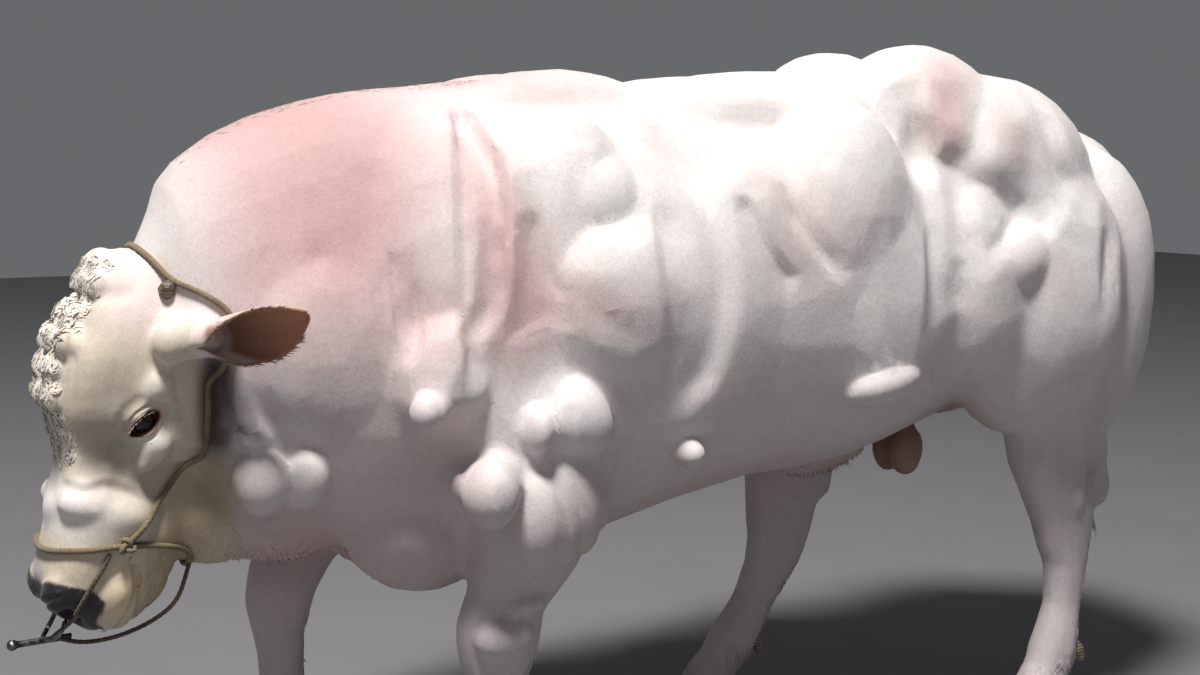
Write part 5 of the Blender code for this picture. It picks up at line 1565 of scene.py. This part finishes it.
@dataclass
class Coat:
    """Locks and tufts over the skin, as joined meshes."""

    hide: Hide
    seed: int = 7
    curl: LockShape = LockShape(0.015, 0.0022, 0.0005, 1.7, 0.03, segments=6, spread=0.3)
    long_hair: LockShape = LockShape(0.175, 0.005, 0.0022, 0.25, 0.035, 0.05, 10, 4, 0.05, True)
    ear_lock: LockShape = LockShape(0.014, 0.0007, 0.0004, lift=0.03, smooth=True)
    lash: LockShape = LockShape(0.0125, 0.00055, 0.00045, lift=-0.12, spread=0.12, smooth=True)
    tuft: LockShape = LockShape(0.013, 0.0011, 0.00014, 0.25, segments=3, spread=0.22)
    face_tuft: LockShape = LockShape(0.007, 0.0006, 0.0001, 0.25, segments=3, spread=0.22)
    fringe: LockShape = LockShape(0.022, 0.0013, 0.0005, 0.4, 0.05, segments=4, spread=0.28)
    # least distance between roots and most roots of each kind
    whorls: tuple[float, int] = (0.019, 260)
    curl_roots: tuple[float, int] = (0.004, 4300)
    tuft_roots: tuple[float, int] = (0.0085, 13000)
    face_roots: tuple[float, int] = (0.0048, 8000)
    fringe_roots: tuple[float, int] = (0.0055, 6500)
    switch_locks: int = 300
    ear_locks: int = 420
    lash_locks: int = 44
    # middle line of the tail, lowest root of its switch and how far up the roots go, core by height
    tail_x: float = 1.058
    switch_low: float = 0.34
    switch_span: float = 0.34
    core_at: Sequence[float] = (0.34, 0.42, 0.6, 0.68)
    core_half: Sequence[float] = (0.012, 0.024, 0.022, 0.016)

    def scattered(self, density: Callable[[Array, Array], Array], spacing: float, most: int, seed: int
                  ) -> tuple[Array, Array]:
        """Choose roots on the skin.

        Args:
            density: Chance of a root for places and normals, from 0 to 1.
            spacing: Least distance between roots.
            most: Most roots to keep.
            seed: Seed of the choice.

        Returns:
            Places and normals of the roots.
        """
        mesh = self.hide.made.data
        mesh.calc_loop_triangles()
        count = len(mesh.loop_triangles)
        corners = np.empty(count * 3, np.int64)
        mesh.loop_triangles.foreach_get("vertices", corners)
        corners = corners.reshape(-1, 3)
        co, normal = self.hide.clay.co, self.hide.clay.normal
        chance = density(co, normal)
        a, b, c = (co[corners[:, k]] for k in range(3))
        weight = np.linalg.norm(np.cross(b - a, c - a), axis=1) * chance[corners].mean(1)
        rng = np.random.default_rng(self.seed + seed)
        picks = rng.choice(count, size=most * 6, p=weight / weight.sum())
        mix = rng.dirichlet((1, 1, 1), size=len(picks))[:, :, None]
        spots = (co[corners[picks]] * mix).sum(1)
        normals = unit((normal[corners[picks]] * mix).sum(1))
        taken: dict[tuple[int, int, int], list[int]] = {}
        kept: list[int] = []
        for index, spot in enumerate(spots):
            cell = tuple(np.floor(spot / spacing).astype(int))
            close = (other for dx in (-1, 0, 1) for dy in (-1, 0, 1) for dz in (-1, 0, 1)
                     for other in taken.get((cell[0] + dx, cell[1] + dy, cell[2] + dz), ()))
            if all(((spots[other] - spot) ** 2).sum() > spacing**2 for other in close):
                taken.setdefault(cell, []).append(index)
                kept.append(index)
                if len(kept) >= most:
                    break
        return spots[kept], normals[kept]

    def unwrapped(self, spots: Array, normals: Array) -> Array:
        """Place of each root on an unwrap of the skin into six charts by the way it faces."""
        axis = np.abs(normals).argmax(1)
        sign = normals[np.arange(len(normals)), axis] > 0
        chart = axis * 2 + sign
        low, high = spots.min(0) - 0.02, spots.max(0) + 0.02
        share = (spots - low) / (high - low)
        pair = np.array([(1, 2), (0, 2), (0, 1)])[axis]
        u = share[np.arange(len(share)), pair[:, 0]] * 0.31 + (chart % 3) / 3 + 0.01
        v = share[np.arange(len(share)), pair[:, 1]] * 0.47 + (chart // 3) / 2 + 0.015
        return np.stack([u, v], axis=1)

    def locks(self, name: str, spots: Array, normals: Array, lie: Array, shape: LockShape, seed: int,
              size: Array | None = None, turning: Array | None = None, rise: Array | None = None,
              colour: Array | None = None, bed: BVHTree | None = None) -> Object:
        """Make one mesh of locks.

        Args:
            name: Name of the piece.
            spots: Roots on the skin.
            normals: Normals at the roots.
            lie: Direction that each lock is combed in.
            shape: Kind of lock.
            seed: Seed of their differences.
            size: Scale of each lock.
            turning: Sign of the curl of each lock; chance if None.
            rise: Height of each root above the skin; none if None.
            colour: Colour of each lock; the markings at its root if None.
            bed: Surface that each lock lies flat on.

        Returns:
            The piece, before it is put in its place.
        """
        rng = np.random.default_rng(self.seed * 31 + seed)
        count, rings, sides = len(spots), shape.segments + 1, shape.sides
        size = np.ones(count) if size is None else size
        size = size * rng.uniform(0.75, 1.2, count)
        lie = unit(lie - normals * (lie * normals).sum(1, keepdims=True))
        aside = np.cross(normals, lie)
        start = rng.normal(0, shape.spread, count)
        turning = rng.choice((-1.0, 1.0), count) if turning is None else turning
        bend = shape.curl * turning * rng.uniform(0.6, 1.2, count)
        start_height = np.zeros(count) if rise is None else rise
        along = np.linspace(0, 1, rings)
        angle = start[:, None] + bend[:, None] * along[None] + shape.wave * np.sin(
            along[None] * 6.3 * 1.6 + rng.uniform(0, 6.3, count)[:, None])
        step = shape.length / shape.segments * size
        ahead = np.cumsum(np.cos(angle), axis=1) - np.cos(angle[:, :1])
        sway = np.cumsum(np.sin(angle), axis=1) - np.sin(angle[:, :1])
        arch = (shape.lift * shape.length * np.sin(np.pi * np.minimum(along * 1.15, 1.0))
                - shape.thick * 0.8 * (along < 0.01))
        spine = (spots[:, None] + lie[:, None] * (ahead * step[:, None])[:, :, None]
                 + aside[:, None] * (sway * step[:, None])[:, :, None])
        if bed is not None:
            spine = seated(bed, spine.reshape(-1, 3)).reshape(spine.shape)
        spine = spine + normals[:, None] * (arch[None] * size[:, None] + start_height[:, None])[:, :, None]
        way = lie[:, None] * np.cos(angle)[:, :, None] + aside[:, None] * np.sin(angle)[:, :, None]
        across = np.cross(normals[:, None] * np.ones((1, rings, 1)), way)
        # a lock is widest before its middle and ends in a point
        taper = np.sqrt(np.clip(1 - along**2.2, 0.0, 1))
        taper *= 0.75 + 0.5 * np.sin(np.pi * np.minimum(along * 1.5, 1))
        taper[-1] = 0.04
        turn = 2 * np.pi * np.arange(sides) / sides - (np.pi / 2 if sides == 3 else 0.0)
        turn = turn[None, None, :, None]
        wide = (shape.width * taper[None] * size[:, None])[:, :, None, None]
        deep = (shape.thick * taper[None] * size[:, None])[:, :, None, None]
        points = (spine[:, :, None] + across[:, :, None] * (wide * np.cos(turn))
                  + normals[:, None, None] * (deep * np.sin(turn)))
        base = (np.arange(count) * rings * sides)[:, None, None]
        faces = [(part[None] + base).reshape(-1, part.shape[1]) for part in self.lock_faces(rings, sides)]
        mesh = bpy.data.meshes.new(name)
        mesh.from_pydata(boxed(points.reshape(-1, 3)).tolist(), [], [*faces[0].tolist(), *faces[1].tolist()])
        if shape.smooth:
            mesh.shade_smooth()
        made = bpy.data.objects.new(name, mesh)
        bpy.context.scene.collection.objects.link(made)
        tone = MARKINGS.at(spots) if colour is None else colour
        tone = tone * rng.uniform(0.93, 1.06, (count, 1))
        # each lock darker toward its root: painted shade where it lies in the coat
        shade = 0.94 + 0.08 * along
        tone = tone[:, None, None] * shade[None, :, None, None] * np.ones((1, 1, sides, 1))
        paint(made, tone.reshape(-1, 3))
        self.charted(made, self.unwrapped(spots, normals), rings, sides)
        return made

    def lock_faces(self, rings: int, sides: int) -> tuple[Array, Array]:
        """Corners of the walls and of the two ends of one lock.

        Args:
            rings: Rings of points along the lock.
            sides: Points in a ring.

        Returns:
            Four corners for each wall, and one for each side for each end.
        """
        ring, side = (grid.ravel() for grid in np.indices((rings - 1, sides)))
        first, second = ring * sides + side, ring * sides + (side + 1) % sides
        walls = np.stack([first + sides, second + sides, second, first], axis=1)
        root = np.arange(sides)
        return walls, np.stack([root, (rings - 1) * sides + root[::-1]])

    def charted(self, made: Object, at: Array, rings: int, sides: int) -> None:
        """Give each lock its own small patch on the unwrap of the skin."""
        layer = made.data.uv_layers.new(name="OFBake")
        corner = np.empty(len(made.data.loops), np.int64)
        made.data.loops.foreach_get("vertex_index", corner)
        lock, rest = corner // (rings * sides), corner % (rings * sides)
        ring, side = rest // sides, rest % sides
        patch = np.stack([side / sides, ring / (rings - 1)], axis=1) * 0.003
        layer.data.foreach_set("uv", (at[lock] + patch).astype(np.float32).ravel())

    def curls(self, look: Material) -> None:
        """Close curls on the poll and forehead, gathered in small whorls."""
        upward = HEAD.turned([(0.0, 0.0, 1.0)])[0]

        def density(points: Array, normals: Array) -> Array:
            """Chance of a root: where the coat is curly and faces up from the forehead."""
            return curl_share(HEAD.level(points)) * ramp(normals @ upward, -0.5, 0.1)

        centres, _ = self.scattered(density, *self.whorls, 1)
        for part in (0, 1):
            spots, normals = self.scattered(density, *self.curl_roots, 2 + part)
            near = ((spots[:, None] - centres[None]) ** 2).sum(2)
            first = near.argmin(1)
            gap = spots - centres[first]
            far = np.linalg.norm(gap, axis=1)
            turning = np.where(first % 2 == 0, 1.0, -1.0)
            round_about = np.cross(normals, unit(gap)) * turning[:, None]
            lie = round_about + unit(gap) * 0.25
            dome = 0.004 * np.clip(1 - (far / 0.013) ** 2, 0, 1)
            tone = MARKINGS.at(spots) * 0.35 + np.asarray(CURL_TONE) * 0.65
            made = self.locks(f"forehead_curls_{part + 1}", spots, normals, lie, self.curl, 2 + part,
                              None, turning, dome * 0.7, tone)
            place_piece(made, look, "face")

    def switch(self, look: Material) -> None:
        """Long hair at the end of the tail."""
        rng = np.random.default_rng(self.seed + 5)
        count = self.switch_locks
        turn = rng.uniform(0, 2 * math.pi, count)
        height = self.switch_low + self.switch_span * rng.uniform(0, 1, count) ** 0.8
        out = np.stack([np.cos(turn), np.sin(turn), np.zeros(count)], axis=1)
        core = np.interp(height, self.core_at, self.core_half)
        spots = np.stack([np.full(count, self.tail_x), np.zeros(count), height], axis=1) + out * core[:, None]
        lie = np.tile((0.05, 0.0, -1.0), (count, 1)) + out * 0.05
        size = np.clip((height - 0.318) / 0.185, 0.1, 1.0) * rng.uniform(0.75, 1.0, count)
        tone = np.tile(SWITCH_TONE, (count, 1)) * rng.uniform(0.72, 1.0, (count, 1))
        made = self.locks("tail_switch", spots, out, lie, self.long_hair, 5, size, colour=tone)
        place_piece(made, look, "hide")

    def ear_hair(self, ear: Ear, look: Material) -> None:
        """Fringe along the edges of an ear and hair inside its cup."""
        rng = np.random.default_rng(self.seed + 11 + ear.side.value)
        _, axis, face, down = ear.axes()
        spots, outs, lies = [], [], []
        for _ in range(self.ear_locks):
            at, edge = rng.uniform(0.34, 0.86), rng.uniform() < 0.35
            turn = rng.choice((-1.0, 1.0)) * (rng.uniform(0.93, 0.985) if edge else rng.uniform(0.1, 0.9))
            share = (at - ear.rows[0][0]) / (ear.rows[-1][0] - ear.rows[0][0])
            spots.append(ear.surface(share, turn) + face * ear.thick * (0.4 if edge else 0.9))
            outs.append(unit(face + down * turn * -0.4))
            lies.append(axis * 1.2 + face * (0.05 if edge else 0.3) - down * turn * (0.1 if edge else 0.3))
        tone = np.tile(EAR_HAIR_TONE, (len(spots), 1)) * rng.uniform(0.6, 1.2, (len(spots), 1))
        made = self.locks(f"{ear.side.word}_ear_hair", np.array(spots), np.array(outs), np.array(lies),
                          self.ear_lock, 11 + ear.side.value, colour=tone)
        place_piece(made, look, "ear")

    def lashes(self, side: Side, look: Material) -> None:
        """Pale lashes on the upper lid."""
        out, along, up = eye_axes(side)
        turn = np.linspace(0.35, math.pi - 0.3, self.lash_locks)
        rim = np.stack([np.cos(turn) * 0.027, np.sin(turn) * 0.015], axis=1)
        deep = np.sqrt(np.maximum((EYE_RADIUS + 0.005) ** 2 - (rim**2).sum(1) * 0.8, 0.0001))
        spots = eye_centre(side) + along * rim[:, :1] + up * rim[:, 1:] + out * deep[:, None]
        lie = np.tile(out * 0.9 + up * 0.25, (len(turn), 1)) + along * np.cos(turn)[:, None] * 0.6
        tone = np.tile(LASH_TONE, (len(turn), 1))
        made = self.locks(f"{side.word}_lashes", spots, np.tile(up, (len(turn), 1)), lie, self.lash,
                          21 + side.value, colour=tone)
        place_piece(made, look, "face")

    def lie_of(self, points: Array) -> Array:
        """Direction that the short coat is combed in: back and down, straight down on the legs."""
        legs = 1 - ramp(points[:, 2], 0.5, 0.8)
        head = head_share(points, 0.0, 0.04)
        back = np.array((0.85, 0.0, -0.52))
        lie = back[None] * (1 - legs)[:, None] + np.array((0.1, 0.0, -1.0)) * legs[:, None]
        nose = HEAD.turned([(-1.0, 0.0, 0.0)])[0]
        return unit(lie * (1 - head)[:, None] + nose * head[:, None])

    def plain(self, points: Array) -> Array:
        """Chance of short coat: none on nose, curls, eyes, ears, scrotum and claws."""
        level = HEAD.level(points)
        clear = 1 - np.maximum(leather_at(level), curl_share(level)) * head_share(points, 0.0, 0.02)
        for side in Side:
            clear *= eye_reach(side, points) > 1.5
        purse = np.linalg.norm((points - PURSE_MIDDLE) / (1.0, 1.0, 1.3), axis=1)
        ears = self.hide.ear_share.max(0) if len(points) == len(self.hide.clay.co) else 0.0
        return clear * (1 - ears) * (purse > 0.1) * (points[:, 2] > CLAW_TOP)

    def fringed(self, points: Array, normals: Array) -> Array:
        """Chance of longer hair: under the belly, on crest and chin, behind the legs and over the claws."""
        level, height, off = HEAD.level(points), points[:, 2], np.abs(points[:, 1])
        under = ramp(-normals[:, 2], 0.3, 0.8) * ramp(-height, -0.8, -0.62) * (1 - ramp(off, 0.02, 0.08))
        crest = ramp(normals[:, 2], 0.5, 0.9) * (points[:, 0] < -0.55) * (1 - ramp(off, 0.01, 0.05))
        back = ramp(normals[:, 0], 0.2, 0.8) * (height < 0.34) * (height > 0.1)
        chin = head_share(points, 0, 0.02) * ramp(-level[:, 2], 0.17, 0.22) * ramp(-level[:, 0], 0.4, 0.48)
        foot = (height < 0.125) * (height > CLAW_TOP) * 2.0
        return self.plain(points) * np.clip(under + crest * 0.1 + back * 0.6 + chin * 0.7 + foot, 0, 2)

    def tufts(self, look: Material) -> None:
        """Flat tufts of the short coat on every side, smallest on face and feet."""
        bed = self.hide.clay.tree()
        for side in Side:
            sign = side.value

            def body(points: Array, normals: Array, sign: int = sign) -> Array:
                """Chance of a root on this side of the body."""
                return self.plain(points) * (points[:, 1] * sign > 0) * (1 - head_share(points, -0.02, 0.02))

            spots, normals = self.scattered(body, *self.tuft_roots, 30 + sign)
            halves = np.array_split(np.argsort(spots[:, 0]), 2)
            for end, rows, seed in zip(("fore", "hind"), halves, (30 + sign, 40 + sign)):
                made = self.locks(f"coat_{side.word}_{end}", spots[rows], normals[rows],
                                  self.lie_of(spots[rows]), self.tuft, seed, bed=bed)
                place_piece(made, look, "hide")

        def face(points: Array, normals: Array) -> Array:
            """Chance of a root on the face."""
            return self.plain(points) * head_share(points, -0.02, 0.02)

        spots, normals = self.scattered(face, *self.face_roots, 33)
        made = self.locks("coat_face", spots, normals, self.lie_of(spots), self.face_tuft, 33, bed=bed)
        place_piece(made, look, "face")
        spots, normals = self.scattered(self.fringed, *self.fringe_roots, 34)
        size = (0.75 + 0.5 * (spots[:, 2] < 0.65)) * (1 - 0.5 * head_share(spots, 0.0, 0.04))
        size *= np.where(spots[:, 2] < 0.13, 0.75, 1.0)
        lie = self.lie_of(spots) + normals * 0.15
        place_piece(self.locks("coat_fringes", spots, normals, lie, self.fringe, 34, size), look, "hide")

    def build(self, ears: Sequence[Ear]) -> None:
        """Make every piece of the coat."""
        look = LockFinish().build()
        self.curls(look)
        self.switch(look)
        for ear in ears:
            self.ear_hair(ear, look)
            self.lashes(ear.side, look)
        self.tufts(look)


# ---- eyes


@dataclass
class Eye:
    """One eyeball with its wet surface."""

    side: Side

    def build(self) -> None:
        """Make the eyeball and put it in its place."""
        centre = eye_centre(self.side)
        sign = self.side.value
        look, across = HEAD.turned(unit(np.array([(-0.3, sign, 0.12), (0.88, 0.0, -0.47)])))
        across = unit(across - look * (across @ look))
        bm = bmesh.new()
        bmesh.ops.create_uvsphere(bm, u_segments=48, v_segments=32, radius=EYE_RADIUS)
        for vert in bm.verts:
            swell = max(0.0, vert.co.normalized().dot(Vector(look)) - 0.8)
            vert.co *= 1 + 0.22 * swell
        bmesh.ops.translate(bm, verts=bm.verts, vec=Vector(centre))
        made = new_piece(f"{self.side.word}_eyeball", bm)
        spot = tuple(Vector(centre) + SHIFT)
        finish = EyeFinish(f"{self.side.word}_eye_look", spot, tuple(look), tuple(across))
        place_piece(made, finish.build(), "eye", f"{self.side.word}_eye")


# ---- halter


@dataclass
class Rope:
    """A laid rope: three strands twisted round a route."""

    name: str
    radius: float = 0.0055
    pitch: float = 0.028
    strands: int = 3
    sides: int = 18

    def build(self, route: Array, closed: bool = False) -> Object:
        """Sweep the twisted section along a route.

        Args:
            route: Points along the middle of the rope.
            closed: Whether its end meets its beginning.

        Returns:
            The rope, before it is put in its place.
        """
        bm = bmesh.new()
        ahead = unit(np.gradient(route, axis=0))
        if closed:
            ahead[0] = ahead[-1] = unit(route[1] - route[-2])
        up = np.array((0.0, 0.0, 1.0)) if abs(ahead[0][2]) < 0.9 else np.array((0.0, 1.0, 0.0))
        run, loops = 0.0, []
        for index, spot in enumerate(route):
            if index:
                run += float(np.linalg.norm(spot - route[index - 1]))
            up = unit(up - ahead[index] * (up @ ahead[index]))
            out = np.cross(ahead[index], up)
            ring = bmesh.ops.create_circle(bm, cap_ends=False, segments=self.sides, radius=1.0)["verts"]
            for vert in ring:
                turn = math.atan2(vert.co.y, vert.co.x)
                phase = turn - 2 * math.pi * run / self.pitch
                swell = 0.8 + 0.2 * abs(math.cos(self.strands * phase / 2))
                vert.co = Vector(spot + (up * math.cos(turn) + out * math.sin(turn)) * self.radius * swell)
            loops.append(list({edge for vert in ring for edge in vert.link_edges}))
        for first, second in zip(loops, loops[1:]):
            bmesh.ops.bridge_loops(bm, edges=first + second)
        if not closed:
            for loop in (loops[0], loops[-1]):
                bmesh.ops.contextual_create(bm, geom=loop)
        else:
            bmesh.ops.remove_doubles(bm, verts=bm.verts, dist=0.0002)
        bmesh.ops.recalc_face_normals(bm, faces=bm.faces)
        return new_piece(self.name, bm)


@dataclass
class Halter:
    """Rope halter with the cord, strap and tongs at the nose."""

    hide: Hide
    crown: tuple[Point, ...] = mm(
        -475.5, 98, -123, -424, 105, -148, -322, 130, -200, -240, 150, -195, -168, 165, -176,
        -105, 175, -200, -48, 150, -190, -14, 85, -124, -2, 0, -70
    )
    nose: tuple[Point, ...] = mm(
        -518, 0, 0, -512, 60, -20, -495, 95, -70, -475.5, 98, -123, -470, 90, -190, -475, 50, -260,
        -478, 0, -270
    )
    strap: tuple[Point, ...] = mm(
        -496, -102, -101, -530, -106, -94, -574, -100, -80, -618, -70, -78, -664, -12, -72
    )
    cord: tuple[Point, ...] = mm(
        -1350, -18, 436, -1300, -34, 424, -1240, -44, 430, -1180, -48, 452, -1140, -46, 484, -1123, -44, 533
    )

    def seat(self, route: Array, lift: float, step: float = 0.0028) -> Array:
        """Lay a route on the skin so that no part of it sinks in."""
        tree = self.hide.clay.tree()
        laid = seated(tree, curve_through(route, 0.012), lift)
        laid = curve_through(laid, 0.012)
        for _ in range(3):
            inner = (laid[:-2] + laid[2:]) / 2
            laid[1:-1] = laid[1:-1] * 0.5 + inner * 0.5
            for index, spot in enumerate(laid):
                place, normal, _, _ = tree.find_nearest(Vector(spot))
                rise = (spot - np.array(place)) @ np.array(normal)
                if rise < lift:
                    laid[index] = spot + np.array(normal) * (lift - rise)
        return curve_through(laid, step)

    def mirrored(self, half: Sequence[Point]) -> list[Point]:
        """Route over both sides from the half on the right side."""
        other = [(x, -y, z) for x, y, z in half]
        return other[::-1] + list(half[1:]) if half[0][1] == 0 else list(half) + other[::-1][1:]

    def knot(self, side: Side, look: Material) -> None:
        """Tie a knot where the cheek rope meets the noseband."""
        spot = head_spot(self.crown[0], side.value)
        middle = self.seat(np.vstack([spot, spot + 0.002]), 0.009)[0]
        turn = np.linspace(0, 2 * math.pi, 72)
        local = np.stack([np.sin(turn) + 2 * np.sin(2 * turn), -1.3 * np.sin(3 * turn),
                          np.cos(turn) - 2 * np.cos(2 * turn)], axis=1) * 0.0042
        made = Rope(f"{side.word}_halter_knot", 0.0046).build(middle + HEAD.turned(local), True)
        place_piece(made, look, "rope")

    def build(self) -> None:
        """Make ropes and knots and put them in their places."""
        look = RopeFinish("hemp").build()
        dark = RopeFinish("dark_cord", (0.05, 0.038, 0.03), (0.19, 0.14, 0.095)).build()
        rope = Rope("halter_crown")
        over = self.seat(HEAD.carry(self.mirrored(self.crown)), rope.radius * 0.9)
        place_piece(rope.build(over), look, "rope", "halter_crown_rope")
        route = self.seat(HEAD.carry(self.mirrored(self.nose)), rope.radius * 0.9)
        route[-1] = route[0] = (route[0] + route[-1]) / 2
        place_piece(Rope("halter_noseband").build(route, True), look, "rope", "halter_nose_rope")
        for side in Side:
            self.knot(side, look)
        strap = self.seat(HEAD.carry(self.strap[:-1]), 0.004)
        strap = np.vstack([strap[::6], HEAD.carry(self.strap[-1:])])
        tie = route[np.argmin(((route - np.asarray(self.cord[-1])) ** 2).sum(1))]
        cord = np.vstack([self.cord[:-1], tie - (0.0, 0.0, 0.003)])
        for name, line, node in (("tongs_strap_cord", strap, "tongs_strap"),
                                 ("tongs_hanging_cord", cord, "tongs_cord")):
            made = Rope(name, 0.0042, 0.02, 2, 12).build(curve_through(line, 0.0024))
            place_piece(made, dark, "rope", node)


# ---- studio


@dataclass(frozen=True)
class Lamp:
    """One square soft light that shines from spot to aim."""

    name: str
    spot: Point
    aim: Point
    size: float
    power: float
    tint: Point

    def build(self) -> None:
        """Hang the light."""
        light = bpy.data.lights.new(self.name, "AREA")
        light.shape = "SQUARE"
        light.size = self.size
        light.energy = self.power
        light.color = self.tint
        made = bpy.data.objects.new(self.name, light)
        made.location = self.spot
        made.rotation_euler = (Vector(self.aim) - Vector(self.spot)).to_track_quat("-Z", "Y").to_euler()
        bpy.context.scene.collection.objects.link(made)


@dataclass(frozen=True)
class Studio:
    """Pale floor, soft overhead light and the camera."""

    lamps: tuple[Lamp, ...] = (
        Lamp("key", (-2.4, -2.4, 8.4), (-0.1, 0.0, 0.9), 1.6, 1130.0, (1.0, 0.985, 0.965)),
        Lamp("fill", (-3.4, -4.2, 2.2), (-0.2, 0.0, 0.8), 3.0, 8.0, (0.92, 0.93, 1.0)),
    )
    sky: Point = (0.86, 0.88, 0.92)
    sky_strength: float = 0.16
    eye_at: Point = (-1.801, -2.894, 1.28)
    look: Point = (0.469, 0.883, 0.0)
    pitch: float = -2.0
    lens: float = 48.06
    sensor: float = 36.0
    horizon: float = 187.5

    def floor(self) -> None:
        """Lay the floor."""
        bm = bmesh.new()
        bmesh.ops.create_grid(bm, x_segments=8, y_segments=8, size=14.0)
        made = new_piece("studio_floor", bm)
        made.data.materials.append(FloorFinish().build())
        made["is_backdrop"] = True

    def camera(self) -> None:
        """Place the camera, with the lens shifted for the rest of the framing."""
        lens = bpy.data.cameras.new("camera")
        lens.sensor_fit = "HORIZONTAL"
        lens.sensor_width, lens.lens = self.sensor, self.lens
        focal = self.lens / self.sensor * FRAME_WIDTH
        pitch = math.radians(self.pitch)
        lens.shift_y = -(self.horizon - focal * math.tan(-pitch)) / FRAME_WIDTH
        lens.clip_end = 100
        made = bpy.data.objects.new("camera", lens)
        way = Vector(self.look).normalized() * math.cos(pitch) + Vector((0, 0, 1)) * math.sin(pitch)
        made.location = Vector(self.eye_at) + SHIFT
        made.rotation_euler = way.to_track_quat("-Z", "Y").to_euler()
        bpy.context.scene.collection.objects.link(made)
        bpy.context.scene.camera = made

    def build(self) -> None:
        """Set up the whole studio."""
        self.floor()
        for lamp in self.lamps:
            lamp.build()
        world = bpy.data.worlds.new("studio")
        world.use_nodes = True
        background = world.node_tree.nodes["Background"]
        background.inputs["Color"].default_value = (*self.sky, 1.0)
        background.inputs["Strength"].default_value = self.sky_strength
        bpy.context.scene.world = world
        bpy.context.scene.view_settings.view_transform = "Standard"
        self.camera()


# ---- assembly


def dress_kept() -> None:
    """Give the solids that stay in view their horn and steel."""
    looks = {
        "claw": HornFinish("claw_horn", (0.15, 0.115, 0.085), (0.42, 0.35, 0.27)).build(),
        "horn": HornFinish("bud_horn", (0.13, 0.095, 0.078), (0.23, 0.18, 0.15)).build(),
        "tongs": SteelFinish().build(),
    }
    for name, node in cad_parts.items():
        look = next((look for word, look in looks.items() if word in name), None)
        if look is not None and not node.hide_render:
            node.data.materials.clear()
            node.data.materials.append(look)


def main() -> None:
    """Build the bull piece by piece."""
    logging.basicConfig(level=logging.INFO, format="%(message)s")
    ears = [Ear(side) for side in Side]
    hide = Hide()
    skin = hide.build(ears)
    coat = Coat(hide)
    for side in Side:
        Eye(side).build()
    Halter(hide).build()
    coat.build(ears)
    place_piece(skin, HideFinish().build(), "hide", *FLESH)
    dress_kept()
    Studio().build()
    low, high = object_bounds()
    corners = [tuple(round(value, 4) for value in corner) for corner in (low, high, *CAD_BOX)]
    LOG.info("visual box %s %s, solids %s %s", *corners)


if __name__ == "__main__":
    main()
